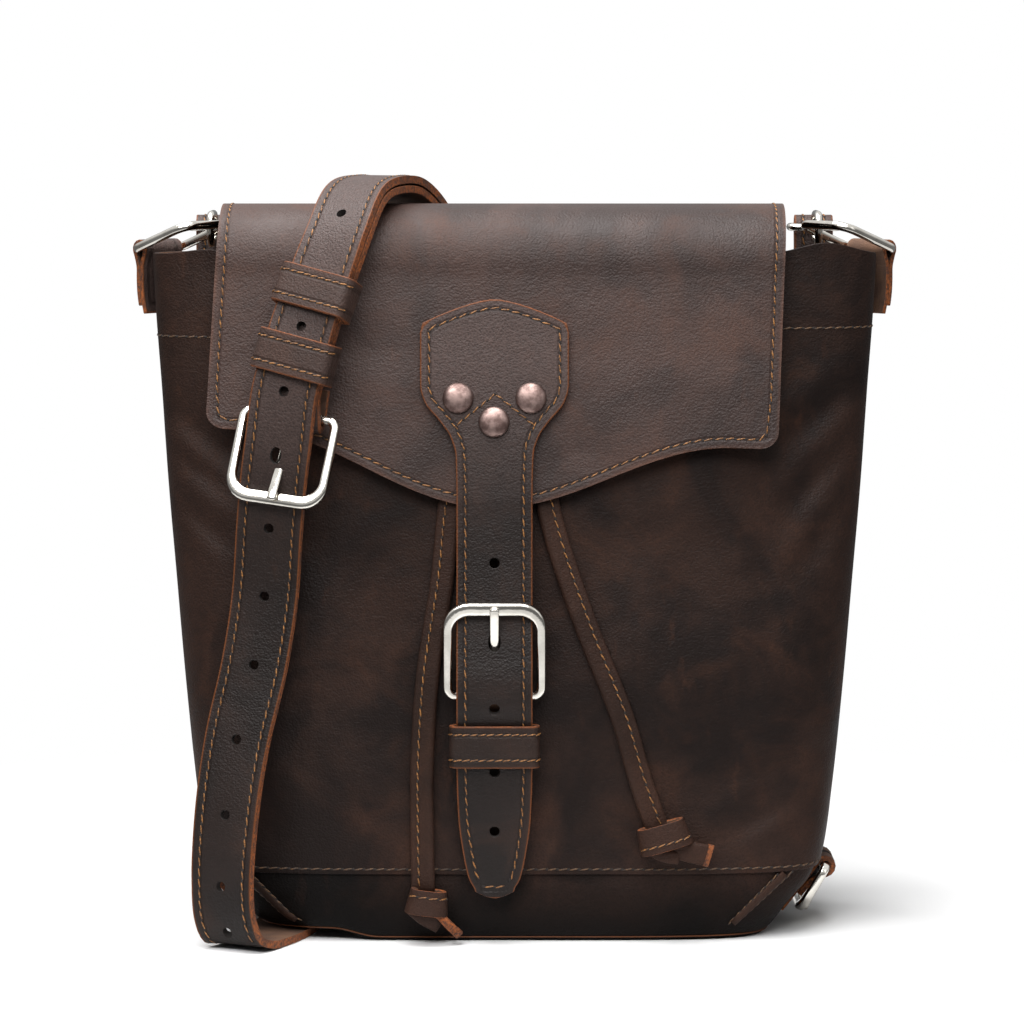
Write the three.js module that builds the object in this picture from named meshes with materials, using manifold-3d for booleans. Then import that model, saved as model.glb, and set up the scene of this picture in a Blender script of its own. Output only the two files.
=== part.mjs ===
// Convertible crossbody bag in leather: a hollow body on a boxed base, a flap with a
// buckled closure strap, two drawstrings, and a shoulder strap that hangs over the flap.
// Millimetres, +Z up, the front faces -Y.

import * as THREE from 'three';
import { mergeVertices } from 'three/addons/utils/BufferGeometryUtils.js';
import Module from 'manifold-3d';

const wasm = await Module();
wasm.setup();

// Driving dimensions
const WALL = 2.2;
const STRAP_THICK = 3;
const SHOULDER_HALF = 12.7;
const CLOSURE_HALF = 14.4;
const CLEAR = 0.3;
const LIE = 0.6;
const WIRE = 1.8;
const RING_WIRE = 1.7;
const CLIP_WIRE = 1.5;
const SEAM_Z = 29;
const MOUTH_Z = 262;
const RIDGE_Z = 281;
const CLOSURE_X = -7.6;
const ORIGIN_SHIFT_Y = -2.4;

// How finely the round shapes are cut
const AROUND = 48;
const WIRE_SIDES = 8;
const THIN_SIDES = 6;
const HOLE_SIDES = 6;

// Sections of the body and base: height, half width, half depth, squareness of the outline
const SECTIONS = [
  { z: 0, half: 97, depth: 41, square: 5 },
  { z: 2.5, half: 99.6, depth: 43.5, square: 5 },
  { z: 10, half: 105.3, depth: 45.6, square: 5 },
  { z: SEAM_Z, half: 119.3, depth: 46.2, square: 5 },
  { z: 57, half: 123.6, depth: 46, square: 4.6 },
  { z: 96, half: 127.6, depth: 44.5, square: 4.2 },
  { z: 135, half: 131, depth: 41, square: 3.9 },
  { z: 174, half: 134.3, depth: 37, square: 3.6 },
  { z: 212, half: 136.8, depth: 32.5, square: 3.4 },
  { z: 240, half: 138.8, depth: 28.5, square: 3.3 },
  { z: MOUTH_Z, half: 139.8, depth: 26, square: 3.2 },
];

// Soft hollows of the front: centre, reach along x and z, depth
const DENTS = [
  { x: -108, z: 186, wide: 26, tall: 30, deep: 4.5 },
  { x: 112, z: 178, wide: 24, tall: 34, deep: 4 },
  { x: 78, z: 62, wide: 40, tall: 22, deep: 2.6 },
  { x: -62, z: 92, wide: 34, tall: 40, deep: 2.2 },
];

const blend = (a, b, t) => a + (b - a) * t;
const signedPower = (value, power) => Math.sign(value) * Math.abs(value) ** power;
const vec = (x, y, z) => new THREE.Vector3(x, y, z);

function sectionAt(z) {
  const last = SECTIONS.length - 1;
  let i = SECTIONS.findIndex((row) => row.z >= z);
  if (i < 0) i = last;
  if (i === 0) i = 1;
  const [low, high] = [SECTIONS[i - 1], SECTIONS[i]];
  const t = (z - low.z) / (high.z - low.z);
  return {
    half: blend(low.half, high.half, t),
    depth: blend(low.depth, high.depth, t),
    square: blend(low.square, high.square, t),
  };
}

function dentAt(x, z) {
  let sum = 0;
  for (const d of DENTS) {
    sum += d.deep * Math.exp(-(((x - d.x) / d.wide) ** 2) - ((z - d.z) / d.tall) ** 2);
  }
  return sum;
}

function plainDepth(x, z) {
  const s = sectionAt(z);
  const reach = Math.min(1, Math.abs(x) / s.half);
  return s.depth * (1 - reach ** s.square) ** (1 / s.square);
}

const frontY = (x, z) => -plainDepth(x, z) + dentAt(x, z);
const backY = (x, z) => plainDepth(x, z);

// Solids from rings of points

function facingOut(geometry) {
  const p = geometry.getAttribute('position');
  const index = geometry.index;
  const [a, b, c] = [vec(), vec(), vec()];
  let volume = 0;
  for (let i = 0; i < index.count; i += 3) {
    a.fromBufferAttribute(p, index.getX(i));
    b.fromBufferAttribute(p, index.getX(i + 1));
    c.fromBufferAttribute(p, index.getX(i + 2));
    volume += a.dot(b.cross(c));
  }
  if (volume < 0) {
    for (let i = 0; i < index.count; i += 3) {
      const kept = index.getX(i);
      index.setX(i, index.getX(i + 1));
      index.setX(i + 1, kept);
    }
  }
  return geometry;
}

function loft(rings, closed = false) {
  const n = rings[0].length;
  const index = [];
  const quad = (a, b, c, d) => index.push(a, b, c, a, c, d);
  const spans = closed ? rings.length : rings.length - 1;
  for (let i = 0; i < spans; i += 1) {
    const low = i * n;
    const high = ((i + 1) % rings.length) * n;
    for (let j = 0; j < n; j += 1) {
      const k = (j + 1) % n;
      quad(low + j, low + k, high + k, high + j);
    }
  }
  const end = (rings.length - 1) * n;
  for (let j = 0; j < n / 2 - 1 && !closed; j += 1) {
    quad(n - 1 - j, n - 2 - j, j + 1, j);
    quad(end + j, end + j + 1, end + n - 2 - j, end + n - 1 - j);
  }
  const geometry = new THREE.BufferGeometry();
  const points = rings.flat().flatMap((p) => p.toArray());
  geometry.setAttribute('position', new THREE.Float32BufferAttribute(points, 3));
  geometry.setIndex(index);
  return facingOut(geometry);
}

// A sheet of leather about a grid of points, rows by columns
function sheet(grid, thick) {
  const rows = grid.length;
  const columns = grid[0].length;
  const rings = grid.map((row, i) => {
    const faces = row.map((p, j) => {
      const along = grid[Math.min(i + 1, rows - 1)][j].clone().sub(grid[Math.max(i - 1, 0)][j]);
      const across = row[Math.min(j + 1, columns - 1)].clone().sub(row[Math.max(j - 1, 0)]);
      const out = along.cross(across).setLength(thick / 2);
      return [p.clone().add(out), p.clone().sub(out)];
    });
    return [...faces.map((f) => f[0]), ...faces.map((f) => f[1]).reverse()];
  });
  return loft(rings);
}

// A wire about a closed or open path in the plane that has this normal
function wireAlong(path, normal, radius, sides, closed) {
  const n = path.length;
  const rings = path.map((p, i) => {
    const next = closed ? path[(i + 1) % n] : path[Math.min(i + 1, n - 1)];
    const last = closed ? path[(i + n - 1) % n] : path[Math.max(i - 1, 0)];
    const side = next.clone().sub(last).cross(normal).normalize();
    return Array.from({ length: sides }, (_, k) => {
      const a = ((k + 0.5) / sides) * 2 * Math.PI;
      const r = Array.isArray(radius) ? radius[i] : radius;
      return p.clone().addScaledVector(side, r * Math.cos(a)).addScaledVector(normal, r * Math.sin(a));
    });
  });
  return loft(rings, closed);
}

// A closed path in the XY plane: a rectangle with rounded corners
function roundedPath(x0, x1, y0, y1, radii, steps = 3) {
  const corners = [
    { x: x0, y: y0, sx: 1, sy: 1, from: Math.PI, r: radii[0] },
    { x: x1, y: y0, sx: -1, sy: 1, from: 1.5 * Math.PI, r: radii[0] },
    { x: x1, y: y1, sx: -1, sy: -1, from: 0, r: radii[1] },
    { x: x0, y: y1, sx: 1, sy: -1, from: 0.5 * Math.PI, r: radii[1] },
  ];
  return corners.flatMap((c) => Array.from({ length: steps + 1 }, (_, k) => {
    const a = c.from + (k / steps) * 0.5 * Math.PI;
    return vec(c.x + c.r * (c.sx + Math.cos(a)), c.y + c.r * (c.sy + Math.sin(a)), 0);
  }));
}

// Joins and cuts

function toSolid(geometry) {
  const bare = new THREE.BufferGeometry();
  bare.setAttribute('position', geometry.getAttribute('position').clone());
  if (geometry.index) bare.setIndex(geometry.index.clone());
  const merged = mergeVertices(bare, 1e-4);
  return new wasm.Manifold(new wasm.Mesh({
    numProp: 3,
    vertProperties: new Float32Array(merged.getAttribute('position').array),
    triVerts: new Uint32Array(merged.index.array),
  }));
}

function toGeometry(manifold) {
  const mesh = manifold.getMesh();
  const geometry = new THREE.BufferGeometry();
  geometry.setAttribute('position', new THREE.BufferAttribute(mesh.vertProperties, 3));
  geometry.setIndex(new THREE.BufferAttribute(mesh.triVerts, 1));
  return geometry;
}

function cut(geometry, tools) {
  return toGeometry(tools.reduce((left, tool) => left.subtract(toSolid(tool)), toSolid(geometry)));
}

function join(geometry, other) {
  return toGeometry(toSolid(geometry).add(toSolid(other)));
}

function mirrored(geometry) {
  const copy = geometry.clone();
  if (!copy.index) copy.setIndex([...Array(copy.getAttribute('position').count).keys()]);
  const p = copy.getAttribute('position');
  for (let i = 0; i < p.count; i += 1) p.setX(i, -p.getX(i));
  return facingOut(copy);
}

function placed(geometry, xAxis, yAxis, zAxis, origin) {
  return geometry.applyMatrix4(new THREE.Matrix4().makeBasis(xAxis, yAxis, zAxis).setPosition(origin));
}

// Body and base

// The left of the base is pushed up a little by the strap that runs under it
const PUSHED = { from: 52, to: 70, rise: 3.9, fade: 10 };
const pushAt = (x, z) => (
  PUSHED.rise * THREE.MathUtils.smoothstep(-x, PUSHED.from, PUSHED.to) * Math.max(0, 1 - z / PUSHED.fade));

// The front of the mouth stands a little higher near its two corners
const PEAKS = [{ x: 121, rise: 6, reach: 15 }, { x: -119, rise: 2.5, reach: 12 }];
const PEAK_LOW = 240;
function peakAt(x, z, facing) {
  const rise = PEAKS.reduce((sum, p) => sum + p.rise * Math.exp(-(((x - p.x) / p.reach) ** 2)), 0);
  return rise * facing * THREE.MathUtils.clamp((z - PEAK_LOW) / (MOUTH_Z - PEAK_LOW), 0, 1);
}

function ringAt(z, inset) {
  const s = sectionAt(z);
  return Array.from({ length: AROUND }, (_, i) => {
    const a = (i / AROUND) * 2 * Math.PI;
    const x = (s.half - inset) * signedPower(Math.cos(a), 2 / s.square);
    const y = (s.depth - inset) * signedPower(Math.sin(a), 2 / s.square);
    const facing = Math.max(0, -y / s.depth);
    return vec(x, y + facing * dentAt(x, z), z + pushAt(x, z) + peakAt(x, z, facing));
  });
}

const heights = SECTIONS.map((row) => row.z);
const STRING_HOLE = { z: 248, wide: 11, tall: 6.5, left: -15, right: 3 };

// The front or the back of the body, from side seam to side seam: side -1 is the front
function bodyPanel(side) {
  const levels = [SEAM_Z + CLEAR, ...heights.filter((z) => z > SEAM_Z)];
  const arc = (z, inset) => {
    const ring = ringAt(z, inset);
    const half = side < 0 ? ring.slice(AROUND / 2) : ring.slice(0, AROUND / 2);
    const end = side < 0 ? ring[0] : ring[AROUND / 2];
    return [...half, end].map((p) => p.clone().setY(side * Math.max(CLEAR / 2, side * p.y)));
  };
  return loft(levels.map((z) => [...arc(z, 0), ...arc(z, WALL).reverse()]));
}

function bodyFront() {
  const reach = 12;
  const slots = [STRING_HOLE.left, STRING_HOLE.right].map((x) => (
    new THREE.BoxGeometry(STRING_HOLE.wide, reach, STRING_HOLE.tall)
      .translate(x, frontY(x, STRING_HOLE.z), STRING_HOLE.z)));
  return cut(bodyPanel(-1), slots);
}

function baseBoot() {
  const levels = heights.filter((z) => z <= SEAM_Z);
  const outside = levels.map((z) => ringAt(z, 0));
  const inside = levels.filter((z) => z > WALL).map((z) => ringAt(z, WALL)).reverse();
  return loft([...outside, ...inside]);
}

// Flap: from the back seam over the ridge and down the front

const FLAP = { left: -112.4, right: 103.6, backSeam: 236, fold: 255, stand: 5.6, follow: 0.75 };
const FLAP_LEAN = { left: 0.059, right: 0.04 };
const FLAP_EDGE = { level: 192.5, slope: -0.037, centre: -9, half: 92, drop: 26, corner: 7 };

const flapSide = (side, z) => FLAP[side] - FLAP_LEAN[side] * (RIDGE_Z - z);
const flapX = (v, z) => blend(flapSide('left', z), flapSide('right', z), (v + 1) / 2);
const flapFrontY = (x, z) => -plainDepth(FLAP.follow * x, z) - FLAP.stand;
const flapBackY = (x, z) => backY(FLAP.follow * x, z) + CLEAR + WALL;

function flapEdgeZ(v) {
  const x = flapX(v, FLAP_EDGE.level);
  const reach = Math.min(1, Math.abs(x - FLAP_EDGE.centre) / FLAP_EDGE.half);
  const dip = FLAP_EDGE.drop * (0.5 + 0.5 * Math.cos(Math.PI * reach));
  const half = (FLAP.right - FLAP.left) / 2;
  const past = Math.max(0, Math.abs(v) * half - (half - FLAP_EDGE.corner));
  const lift = FLAP_EDGE.corner - Math.sqrt(FLAP_EDGE.corner ** 2 - past ** 2);
  return FLAP_EDGE.level + FLAP_EDGE.slope * x - dip + 0.92 * lift;
}

function flapPoint(v, row) {
  const top = flapX(v, RIDGE_Z);
  if (row.zone === 'back') return vec(top, flapBackY(top, row.z), row.z);
  if (row.zone === 'front') {
    const z = blend(FLAP.fold, flapEdgeZ(v), row.t);
    const x = flapX(v, z);
    return vec(x, flapFrontY(x, z), z);
  }
  const a = THREE.MathUtils.degToRad(row.angle);
  const rear = flapBackY(top, FLAP.fold);
  const front = flapFrontY(flapX(v, FLAP.fold), FLAP.fold);
  const z = FLAP.fold + (RIDGE_Z - WALL / 2 - FLAP.fold) * Math.sin(a) ** 0.8;
  const y = (rear + front) / 2 + ((rear - front) / 2) * signedPower(Math.cos(a), 0.8);
  return vec(blend(top, flapX(v, z), row.angle / 180), y, z);
}

function flapSheet() {
  const columns = 18;
  const across = Array.from({ length: columns + 1 }, (_, i) => Math.sin((i / columns - 0.5) * Math.PI));
  const rows = [
    { zone: 'back', z: FLAP.backSeam },
    ...[0, 25, 48, 70, 90, 110, 132, 155, 180].map((angle) => ({ zone: 'arch', angle })),
    ...[0.18, 0.4, 0.62, 0.82, 1].map((t) => ({ zone: 'front', t })),
  ];
  return sheet(rows.map((row) => across.map((v) => flapPoint(v, row))), WALL);
}

// Closure strap: a shield patch on the flap that runs down into a strap with five holes

const CLOSURE_STAND = WALL / 2 + LIE + STRAP_THICK / 2;
const CLOSURE_ROWS = [
  { z: 236.5, half: 26, crown: 9 },
  { z: 233, half: 28.2, crown: 6 },
  { z: 213, half: 28.2, crown: 0 },
  { z: 207, half: 26.6, crown: 0 },
  { z: 200, half: 21, crown: 0 },
  { z: 194, half: 16.8, crown: 0 },
  { z: 187, half: 14.8, crown: 0 },
  { z: 170, half: CLOSURE_HALF, crown: 0 },
  { z: 152, half: CLOSURE_HALF, crown: 0, y: -47.4 },
  { z: 129, half: CLOSURE_HALF, crown: 0, y: -50 },
  { z: 112, half: CLOSURE_HALF, crown: 0, y: -53.4 },
  { z: 100, half: CLOSURE_HALF, crown: 0, y: -55.4 },
  { z: 94, half: CLOSURE_HALF, crown: 0, y: -55.4 },
  { z: 84, half: CLOSURE_HALF, crown: 0, y: -53 },
  { z: 69, half: CLOSURE_HALF, crown: 0, y: -52.6 },
  { z: 50, half: 13.8, crown: 0, y: -52.2 },
  { z: 36, half: 12, crown: 0, y: -51.8 },
  { z: 26, half: 9.8, crown: 0, y: -51.4 },
  { z: 21, half: 7.4, crown: -2.6, y: -51.2 },
];
const CLOSURE_HOLES = [146.3, 91.8, 67.3, 44.3];
const HOLE_RADIUS = 2;

function closureY(x, z) {
  const free = CLOSURE_ROWS.findIndex((row) => row.y !== undefined);
  if (z >= CLOSURE_ROWS[free - 1].z) return flapFrontY(x, z) - CLOSURE_STAND;
  const i = CLOSURE_ROWS.findIndex((row) => row.z <= z);
  const [high, low] = [CLOSURE_ROWS[i - 1], CLOSURE_ROWS[i]];
  const top = high.y ?? flapFrontY(x, high.z) - CLOSURE_STAND;
  return blend(low.y, top, (z - low.z) / (high.z - low.z));
}

function closureSheet() {
  const columns = [-1, -0.7, -0.35, 0, 0.35, 0.7, 1];
  const grid = CLOSURE_ROWS.map((row) => columns.map((v) => {
    const x = CLOSURE_X + row.half * v;
    const z = row.z + row.crown * (1 - Math.abs(v) ** 1.5);
    return vec(x, row.y ?? flapFrontY(x, z) - CLOSURE_STAND, z);
  }));
  return sheet(grid, STRAP_THICK);
}

const punch = (z) => new THREE.CylinderGeometry(HOLE_RADIUS, HOLE_RADIUS, 14, HOLE_SIDES)
  .translate(CLOSURE_X, closureY(CLOSURE_X, z), z);

const RIVET_RADIUS = 5.8;
const RIVETS = [
  { name: 'rivet_left', x: -21.4, z: 208.4 },
  { name: 'rivet_right', x: 6.2, z: 208.4 },
  { name: 'rivet_low', x: CLOSURE_X, z: 199.4 },
];

function rivetCap(rivet) {
  const profile = [[0, 0], [1, 0], [1, 0.16], [0.82, 0.36], [0.45, 0.46], [0, 0.48]]
    .map(([r, h]) => new THREE.Vector2(r * RIVET_RADIUS, h * RIVET_RADIUS));
  const seat = closureY(rivet.x, rivet.z) - STRAP_THICK / 2 - 1.5 * CLEAR;
  const above = closureY(rivet.x, rivet.z + RIVET_RADIUS);
  const lean = Math.atan2(above - closureY(rivet.x, rivet.z), RIVET_RADIUS);
  return new THREE.LatheGeometry(profile, 12).rotateX(Math.PI - lean).translate(rivet.x, seat, rivet.z);
}

// Buckles, in a frame of their own: X along the heel bar, Y toward the end bar, Z outward

const BUCKLE = { eye: WIRE + CLEAR, eyeOut: 3.3, eyeHalf: 2, prong: 1.25, slotHalf: 2.6, loop: 4.3 };

function buckleFrame(half, length) {
  const path = roundedPath(-half, half, 0, length, [3.2, 8]);
  return wireAlong(path, vec(0, 0, 1), WIRE, WIRE_SIDES, true);
}

function prongPin(length, dip) {
  const { eye, eyeOut, eyeHalf, prong } = BUCKLE;
  const profile = [[eye, -eyeHalf], [eyeOut, -eyeHalf], [eyeOut, eyeHalf], [eye, eyeHalf], [eye, -eyeHalf]]
    .map(([r, h]) => new THREE.Vector2(r, h));
  const ring = new THREE.LatheGeometry(profile, 12).rotateZ(Math.PI / 2);
  const rest = WIRE + CLEAR + prong;
  const path = [
    vec(0, eye + 0.4, -dip * 0.4),
    vec(0, length * 0.4, -dip),
    vec(0, length * 0.66, Math.max(rest * 0.3, -dip)),
    vec(0, length - 1, rest),
    vec(0, length + 1.6, rest),
  ];
  const radii = [prong, prong, prong, prong, prong * 0.7];
  return join(wireAlong(path, vec(1, 0, 0), radii, WIRE_SIDES, false), ring);
}

const eyeSlot = () => new THREE.BoxGeometry(2 * BUCKLE.slotHalf, 10, 10).translate(0, 1.3, 1.3);

// A leather tab folded about the heel bar, with its tail running back from the bar
function loopTab(half, tail, overlap) {
  const { loop } = BUCKLE;
  const shape = new THREE.Shape();
  shape.moveTo(-tail, -loop);
  shape.lineTo(0, -loop);
  shape.absarc(0, 0, loop, -Math.PI / 2, Math.PI * 0.7, false);
  shape.lineTo(-8, WALL - loop + WALL);
  shape.lineTo(-overlap, WALL - loop + WALL);
  shape.lineTo(-overlap, WALL - loop);
  shape.lineTo(-tail, WALL - loop);
  const hole = new THREE.Path();
  hole.absarc(0, 0, BUCKLE.eye, 0, 2 * Math.PI, true);
  shape.holes.push(hole);
  const settings = { depth: 2 * half, bevelEnabled: false, curveSegments: 8 };
  const strip = new THREE.ExtrudeGeometry(shape, settings);
  placed(strip, vec(0, 1, 0), vec(0, 0, 1), vec(1, 0, 0), vec(-half, 0, 0));
  return cut(strip, [eyeSlot()]);
}

// Front buckle: heel bar low, held on the body, end bar over the closure strap

const FRONT_HEEL_Z = 96;
const FRONT_TAB_TAIL = 46;
const FRONT_TAB_OVERLAP = 10.4;
const FRONT_TAB_HALF = 12;
const FRONT_HEEL = vec(CLOSURE_X, frontY(CLOSURE_X, FRONT_HEEL_Z) - BUCKLE.loop - LIE, FRONT_HEEL_Z);
const FRONT_END_Z = 129.4;
const FRONT_END_STAND = STRAP_THICK / 2 + 3 * CLEAR + WIRE;
const FRONT_END = vec(CLOSURE_X, closureY(CLOSURE_X, FRONT_END_Z) - FRONT_END_STAND, FRONT_END_Z);
const FRONT_HALF = 17.7;
const frontUp = FRONT_END.clone().sub(FRONT_HEEL);
const frontLength = frontUp.length();
frontUp.normalize();
const frontAcross = vec(1, 0, 0);
const frontOut = frontAcross.clone().cross(frontUp);
const onFront = (geometry) => placed(geometry, frontAcross, frontUp, frontOut, FRONT_HEEL);

function frontTab() {
  const low = FRONT_HEEL_Z - FRONT_TAB_TAIL;
  const rise = frontY(CLOSURE_X, FRONT_HEEL_Z) - frontY(CLOSURE_X, low);
  const up = vec(0, rise, FRONT_TAB_TAIL).normalize();
  const strip = loopTab(FRONT_TAB_HALF, FRONT_TAB_TAIL, FRONT_TAB_OVERLAP);
  return placed(strip, frontAcross, up, frontAcross.clone().cross(up), FRONT_HEEL);
}

const prongGap = (length) => new THREE.BoxGeometry(4.2, 16, 14).translate(0, length * 0.6, 0);

const closureStrap = cut(closureSheet(), [...CLOSURE_HOLES.map(punch), onFront(prongGap(frontLength))]);

// A leather loop about straps: half width and half height inside, height of the band
function keeperBand(half, rise, band) {
  const path = roundedPath(-half - 1, half + 1, -rise - 1, rise + 1, [2.4, 2.4], 2);
  const n = path.length;
  const rings = path.map((p, i) => {
    const along = path[(i + 1) % n].clone().sub(path[(i + n - 1) % n]);
    const side = along.cross(vec(0, 0, 1)).normalize();
    const [inner, outer] = [p.clone().addScaledVector(side, -1), p.clone().addScaledVector(side, 1)];
    const lift = vec(0, 0, band / 2);
    return [inner.clone().sub(lift), outer.clone().sub(lift), outer.add(lift), inner.add(lift)];
  });
  return loft(rings, true);
}

const FRONT_KEEPER = { z: 77, band: 16, half: CLOSURE_HALF + 0.8, rise: STRAP_THICK / 2 + LIE };
const frontKeeper = keeperBand(FRONT_KEEPER.half, FRONT_KEEPER.rise, FRONT_KEEPER.band)
  .translate(CLOSURE_X, closureY(CLOSURE_X, FRONT_KEEPER.z), FRONT_KEEPER.z);

// Shoulder strap. Each row: centre of the strap, turn of its width about the upright, half width

const CLIP_EYE = { x: -118.2, y: 36, z: 271 };
const END_HALF = 7.5;
const FOLD_RADIUS = CLIP_WIRE + CLEAR + STRAP_THICK / 2;
const LONG_ROWS = [
  { x: CLIP_EYE.x, y: CLIP_EYE.y + FOLD_RADIUS, z: CLIP_EYE.z, turn: 0, half: END_HALF },
  { x: -118.2, y: 40.5, z: 255, turn: 0, half: END_HALF },
  { x: -118, y: 44, z: 232, turn: 0, half: 11.5 },
  { x: -116.5, y: 50, z: 200, turn: 0 },
  { x: -113, y: 56, z: 155, turn: 0 },
  { x: -107.5, y: 60.5, z: 105, turn: 0 },
  { x: -99, y: 63, z: 58, turn: 0 },
  { x: -92, y: 60, z: 22, turn: 0 },
  { x: -88.5, y: 51, z: 6, turn: 0 },
  { x: -86.5, y: 36, z: 1.9, turn: 4 },
  { x: -85, y: 18, z: 1.8, turn: 0 },
  { x: -85.5, y: 0, z: 1.7, turn: -8 },
  { x: -88, y: -18, z: 1.7, turn: -15 },
  { x: -93, y: -36, z: 1.7, turn: -24 },
  { x: -98, y: -47.5, z: 1.8, turn: -26 },
  { x: -102.5, y: -56, z: 2.4, turn: -26 },
  { x: -106.5, y: -61.2, z: 5, turn: -26 },
  { x: -109.3, y: -62.7, z: 11.5, turn: -26 },
  { x: -110.4, y: -62.6, z: 25, turn: -26 },
  { x: -108.8, y: -60.5, z: 52, turn: -21 },
  { x: -104.8, y: -56, z: 80, turn: -16 },
  { x: -98.4, y: -52, z: 108, turn: -12 },
  { x: -94.4, y: -50, z: 134, turn: -12 },
  { x: -92.5, y: -51, z: 160, turn: -12 },
  { x: -90.8, y: -53, z: 178, turn: -12 },
  { x: -88.8, y: -54.5, z: 193, turn: -12 },
  { x: -86.2, y: -55, z: 212, turn: -14 },
  { x: -82.5, y: -54.5, z: 225, turn: -16 },
  { x: -79.6, y: -53, z: 236, turn: -18 },
  { x: -74, y: -50, z: 252, turn: -22 },
  { x: -67, y: -42.4, z: 271.5, turn: -26 },
  { x: -61, y: -25, z: 286.3, turn: -30 },
  { x: -53, y: -1, z: 290.3, turn: -30 },
  { x: -45, y: 18.5, z: 288, turn: -30 },
  { x: -36.5, y: 35.6, z: 276.5, turn: -28 },
  { x: -30.5, y: 42.6, z: 257, turn: -25 },
  { x: -26.5, y: 45, z: 238, turn: -22 },
];
const SHORT_ROWS = [
  { x: -24, y: 43, z: 222, turn: -24 },
  { x: -17, y: 48, z: 198, turn: -38 },
  { x: -2, y: 56, z: 166, turn: -60 },
  { x: 22, y: 60, z: 130, turn: -80 },
  { x: 52, y: 62, z: 106, turn: -92 },
  { x: 84, y: 61, z: 118, turn: -110 },
  { x: 104, y: 58, z: 156, turn: -140 },
  { x: 113, y: 51, z: 205, turn: -165 },
  { x: 118.2, y: 42, z: 248, turn: -180, half: END_HALF },
  { x: -CLIP_EYE.x, y: CLIP_EYE.y + FOLD_RADIUS, z: CLIP_EYE.z, turn: -180, half: END_HALF },
];

const widthAt = (turn) => {
  const a = THREE.MathUtils.degToRad(turn);
  return vec(Math.cos(a), Math.sin(a), 0);
};

// Places along the rows, a few for each, on one smooth curve
function stations(rows, perRow) {
  const curve = new THREE.CatmullRomCurve3(rows.map((r) => vec(r.x, r.y, r.z)), false, 'centripetal');
  const steps = (rows.length - 1) * perRow;
  return Array.from({ length: steps + 1 }, (_, i) => {
    const at = Math.min(i / perRow, rows.length - 1 - 1e-9);
    const [a, b] = [rows[Math.floor(at)], rows[Math.floor(at) + 1]];
    const t = at - Math.floor(at);
    return {
      p: curve.getPoint(i / steps),
      w: widthAt(blend(a.turn, b.turn, t)),
      half: blend(a.half ?? SHOULDER_HALF, b.half ?? SHOULDER_HALF, t),
    };
  });
}

// Gives each station its direction t, its width w square to that, and its outward normal n
function framed(list) {
  return list.map((s, i) => {
    const t = list[Math.min(i + 1, list.length - 1)].p.clone().sub(list[Math.max(i - 1, 0)].p).normalize();
    const w = s.w.clone().addScaledVector(t, -s.w.dot(t)).normalize();
    return { ...s, t, w, n: w.clone().cross(t) };
  });
}

// The end of a strap turned back about a bar, from a station that runs out along dir
function foldBack(station, dir, side, radius, tail) {
  const steps = 6;
  const turned = Array.from({ length: steps }, (_, k) => {
    const a = ((k + 1) / steps) * Math.PI;
    const p = station.p.clone()
      .addScaledVector(dir, radius * Math.sin(a))
      .addScaledVector(side, radius * (1 - Math.cos(a)));
    return { p, w: station.w, half: station.half };
  });
  const last = turned[steps - 1];
  return [...turned, { ...last, p: last.p.clone().addScaledVector(dir, -tail) }];
}

function ribbon(list) {
  const half = STRAP_THICK / 2;
  return loft(framed(list).map((s) => [[-1, -1], [1, -1], [1, 1], [-1, 1]].map(([a, b]) => (
    s.p.clone().addScaledVector(s.w, a * s.half).addScaledVector(s.n, b * half)))));
}

const UP = vec(0, 0, 1);
const FORWARD = vec(0, -1, 0);
const LAYER = STRAP_THICK + 0.8;
const END_TAIL = 16;
const longStations = stations(LONG_ROWS, 2);
const longFrames = framed(longStations);
const STRAP_BUCKLE = { half: 18, heel: 203, end: 173, aside: 1.5 };
const STRAP_KEEPERS = { upper: 248.5, lower: 225, band: 15.5 };
const onHang = (z) => longFrames.reduce((best, f) => (
  f.p.y < 0 && f.t.z > 0 && Math.abs(f.p.z - z) < Math.abs(best.p.z - z) ? f : best), longFrames.at(-1));

// Strap buckle: heel bar behind both layers, end bar below and in front
const heelFrame = onHang(STRAP_BUCKLE.heel);
const endFrame = onHang(STRAP_BUCKLE.end);
const HEEL_BACK = LAYER + STRAP_THICK / 2 + 2 * CLEAR + WIRE;
const strapHeel = heelFrame.p.clone().addScaledVector(heelFrame.n, -HEEL_BACK)
  .addScaledVector(heelFrame.w, STRAP_BUCKLE.aside);
const strapEnd = endFrame.p.clone().addScaledVector(endFrame.n, STRAP_THICK / 2 + 3 * CLEAR + WIRE)
  .addScaledVector(endFrame.w, STRAP_BUCKLE.aside);
const strapDown = strapEnd.clone().sub(strapHeel);
const strapLength = strapDown.length();
strapDown.normalize();
const strapAcross = heelFrame.w.clone().negate();
strapAcross.addScaledVector(strapDown, -strapAcross.dot(strapDown)).normalize();
const strapOut = strapAcross.clone().cross(strapDown);
const onStrap = (geometry) => placed(geometry, strapAcross, strapDown, strapOut, strapHeel);

const STRAP_HOLES = [26, 52, 80, 108, 134, 160, 213, 236, 278];

function strapPunch(z) {
  const f = onHang(z);
  const bore = new THREE.CylinderGeometry(HOLE_RADIUS, HOLE_RADIUS, 10, HOLE_SIDES);
  return placed(bore, f.w, f.n, f.w.clone().cross(f.n), f.p);
}

function strapLong() {
  const first = longStations[0];
  const start = foldBack(first, UP, FORWARD, FOLD_RADIUS, END_TAIL).reverse();
  const band = ribbon([...start, ...longStations]);
  return cut(band, [...STRAP_HOLES.map(strapPunch), onStrap(prongGap(strapLength))]);
}

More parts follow.
